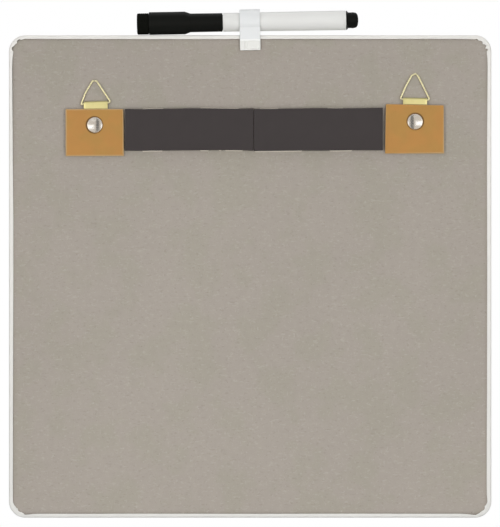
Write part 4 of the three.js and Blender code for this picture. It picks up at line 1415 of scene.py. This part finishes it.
class WHITEBOARD_OT_stage(bpy.types.Operator):
    """Set up the camera, the lamps, the white surroundings and the floor"""

    bl_idname = "whiteboard.stage"
    bl_label = "Stage"

    def execute(self, context):
        scene = context.scene
        stage = scene.stage_settings
        scene.view_settings.view_transform = "Standard"
        centre = middle_of("face_sheet")
        centre.y = board_back()
        self.add_camera(scene, stage)
        self.add_world(scene, stage)
        self.add_lamps(scene, stage, centre)
        self.add_cards(centre)
        self.add_floor(stage)
        return {"FINISHED"}

    def add_camera(self, scene, stage):
        camera = bpy.data.cameras.new("camera")
        camera.sensor_width = SENSOR
        camera.lens = SENSOR * stage.camera_distance / VIEW_SPAN
        camera.clip_start, camera.clip_end = 0.01, 50
        holder = bpy.data.objects.new("camera", camera)
        scene.collection.objects.link(holder)
        across, up = VIEW_MIDDLE
        holder.location = (across, board_back() - stage.camera_distance, up)
        holder.rotation_euler = (math.pi / 2, 0, 0)
        scene.camera = holder

    def add_world(self, scene, stage):
        """White for the camera, and for the rest a soft sky that is brighter overhead."""
        world = bpy.data.worlds.new("white_surroundings")
        world.use_nodes = True
        tree = world.node_tree
        tree.nodes.clear()

        def joined(kind, sockets, output=0, **settings):
            node = tree.nodes.new(kind)
            for key, value in settings.items():
                setattr(node, key, value)
            for key, value in sockets.items():
                if isinstance(value, bpy.types.NodeSocket):
                    tree.links.new(value, node.inputs[key])
                else:
                    node.inputs[key].default_value = value
            return node.outputs[output] if node.outputs else None

        heading = joined("ShaderNodeTexCoord", {}, "Generated")
        height = joined("ShaderNodeSeparateXYZ", {0: heading}, "Z")
        sky = joined("ShaderNodeMapRange", {
            "Value": height, "From Min": -1, "From Max": 1,
            "To Min": stage.sky_below, "To Max": stage.sky_above,
        })
        soft = joined("ShaderNodeBackground", {"Color": (1, 1, 1, 1), "Strength": sky})
        white = joined("ShaderNodeBackground", {"Color": (1, 1, 1, 1), "Strength": 1})
        path = tree.nodes.new("ShaderNodeLightPath")
        straight, refracted = path.outputs["Is Camera Ray"], path.outputs["Is Transmission Ray"]
        seen = joined("ShaderNodeMath", {0: straight, 1: refracted}, operation="MAXIMUM")
        mixed = joined("ShaderNodeMixShader", {0: seen, 1: soft, 2: white})
        joined("ShaderNodeOutputWorld", {"Surface": mixed})
        scene.world = world

    def add_lamps(self, scene, stage, centre):
        for name, (place, (width, height), share, glossy) in LAMPS.items():
            lamp = bpy.data.lights.new(name, "AREA")
            lamp.shape = "RECTANGLE"
            lamp.size, lamp.size_y = width, height
            lamp.energy = stage.lamp_power * share
            holder = bpy.data.objects.new(name, lamp)
            scene.collection.objects.link(holder)
            holder.location = centre + Vector(place)
            holder.rotation_euler = (-Vector(place)).to_track_quat("-Z", "Y").to_euler()
            holder.visible_camera = False
            holder.visible_glossy = glossy

    def add_cards(self, centre):
        for name, (place, (width, height), brightness, colour) in CARDS.items():
            card = upright_plane(centre + Vector(place), width, height)
            card.name = name
            finish = Finish(f"{name}_light")
            glow = finish.node("ShaderNodeEmission", None, {"Strength": brightness, "Color": (*colour, 1)})
            finish.node("ShaderNodeOutputMaterial", None, {"Surface": glow})
            card.data.materials.append(finish.material)
            card.visible_camera = card.visible_diffuse = card.visible_shadow = False
            card.visible_transmission = card.visible_volume_scatter = False
            card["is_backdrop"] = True

    def add_floor(self, stage):
        low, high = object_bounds()
        place = ((low.x + high.x) / 2, (low.y + high.y) / 2, low.z - stage.floor_drop)
        circle = bpy.ops.mesh.primitive_circle_add
        floor = begin(circle, vertices=96, radius=FLOOR_RADIUS, fill_type="NGON", location=place)
        settle(floor)
        floor.name = "studio_floor"
        finish = Finish("pale_floor")
        shifted = finish.node("ShaderNodeVectorMath", {"operation": "SUBTRACT"}, {0: finish.place, 1: place})
        far = finish.node("ShaderNodeVectorMath", {"operation": "LENGTH"}, {0: shifted}, "Value")
        shader = finish.node("ShaderNodeBsdfDiffuse", None, {"Color": (0.9, 0.9, 0.9, 1)})
        clear = finish.node("ShaderNodeBsdfTransparent")
        gone = finish.step(far, *FLOOR_FADE)
        mixed = finish.node("ShaderNodeMixShader", None, {0: gone, 1: shader, 2: clear})
        finish.node("ShaderNodeOutputMaterial", None, {"Surface": mixed})
        floor.data.materials.append(finish.material)
        floor.visible_diffuse = False
        floor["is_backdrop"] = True


class WHITEBOARD_PT_sidebar(bpy.types.Panel):
    bl_idname = "WHITEBOARD_PT_sidebar"
    bl_label = "Magnetic Whiteboard"
    bl_space_type = "VIEW_3D"
    bl_region_type = "UI"
    bl_category = "Whiteboard"

    def draw(self, context):
        for name in GROUPS:
            box = self.layout.box()
            settings = getattr(context.scene, name)
            for key in settings.bl_rna.properties.keys():
                if key not in {"rna_type", "name"}:
                    box.prop(settings, key)
        for operator in OPERATORS:
            self.layout.operator(operator.bl_idname)


GROUPS = {
    "board_sizes": BoardSizes,
    "hanger_sizes": HangerSizes,
    "marker_sizes": MarkerSizes,
    "board_colours": BoardColours,
    "fitting_colours": FittingColours,
    "marker_colours": MarkerColours,
    "stage_settings": StageSettings,
}
OPERATORS = (
    WHITEBOARD_OT_stage,
    WHITEBOARD_OT_face_sheet,
    WHITEBOARD_OT_backing,
    WHITEBOARD_OT_magnets,
    WHITEBOARD_OT_plates,
    WHITEBOARD_OT_straps,
    WHITEBOARD_OT_rings,
    WHITEBOARD_OT_rivets,
    WHITEBOARD_OT_clip,
    WHITEBOARD_OT_marker,
    WHITEBOARD_OT_cap,
)


def register():
    for name, group in GROUPS.items():
        bpy.utils.register_class(group)
        setattr(bpy.types.Scene, name, bpy.props.PointerProperty(type=group))
    for operator in OPERATORS:
        bpy.utils.register_class(operator)
    bpy.utils.register_class(WHITEBOARD_PT_sidebar)


def unregister():
    bpy.utils.unregister_class(WHITEBOARD_PT_sidebar)
    for operator in reversed(OPERATORS):
        bpy.utils.unregister_class(operator)
    for name, group in GROUPS.items():
        delattr(bpy.types.Scene, name)
        bpy.utils.unregister_class(group)


def main():
    register()
    for operator in OPERATORS:
        family, name = operator.bl_idname.split(".")
        getattr(getattr(bpy.ops, family), name)()


if __name__ == "__main__":
    main()
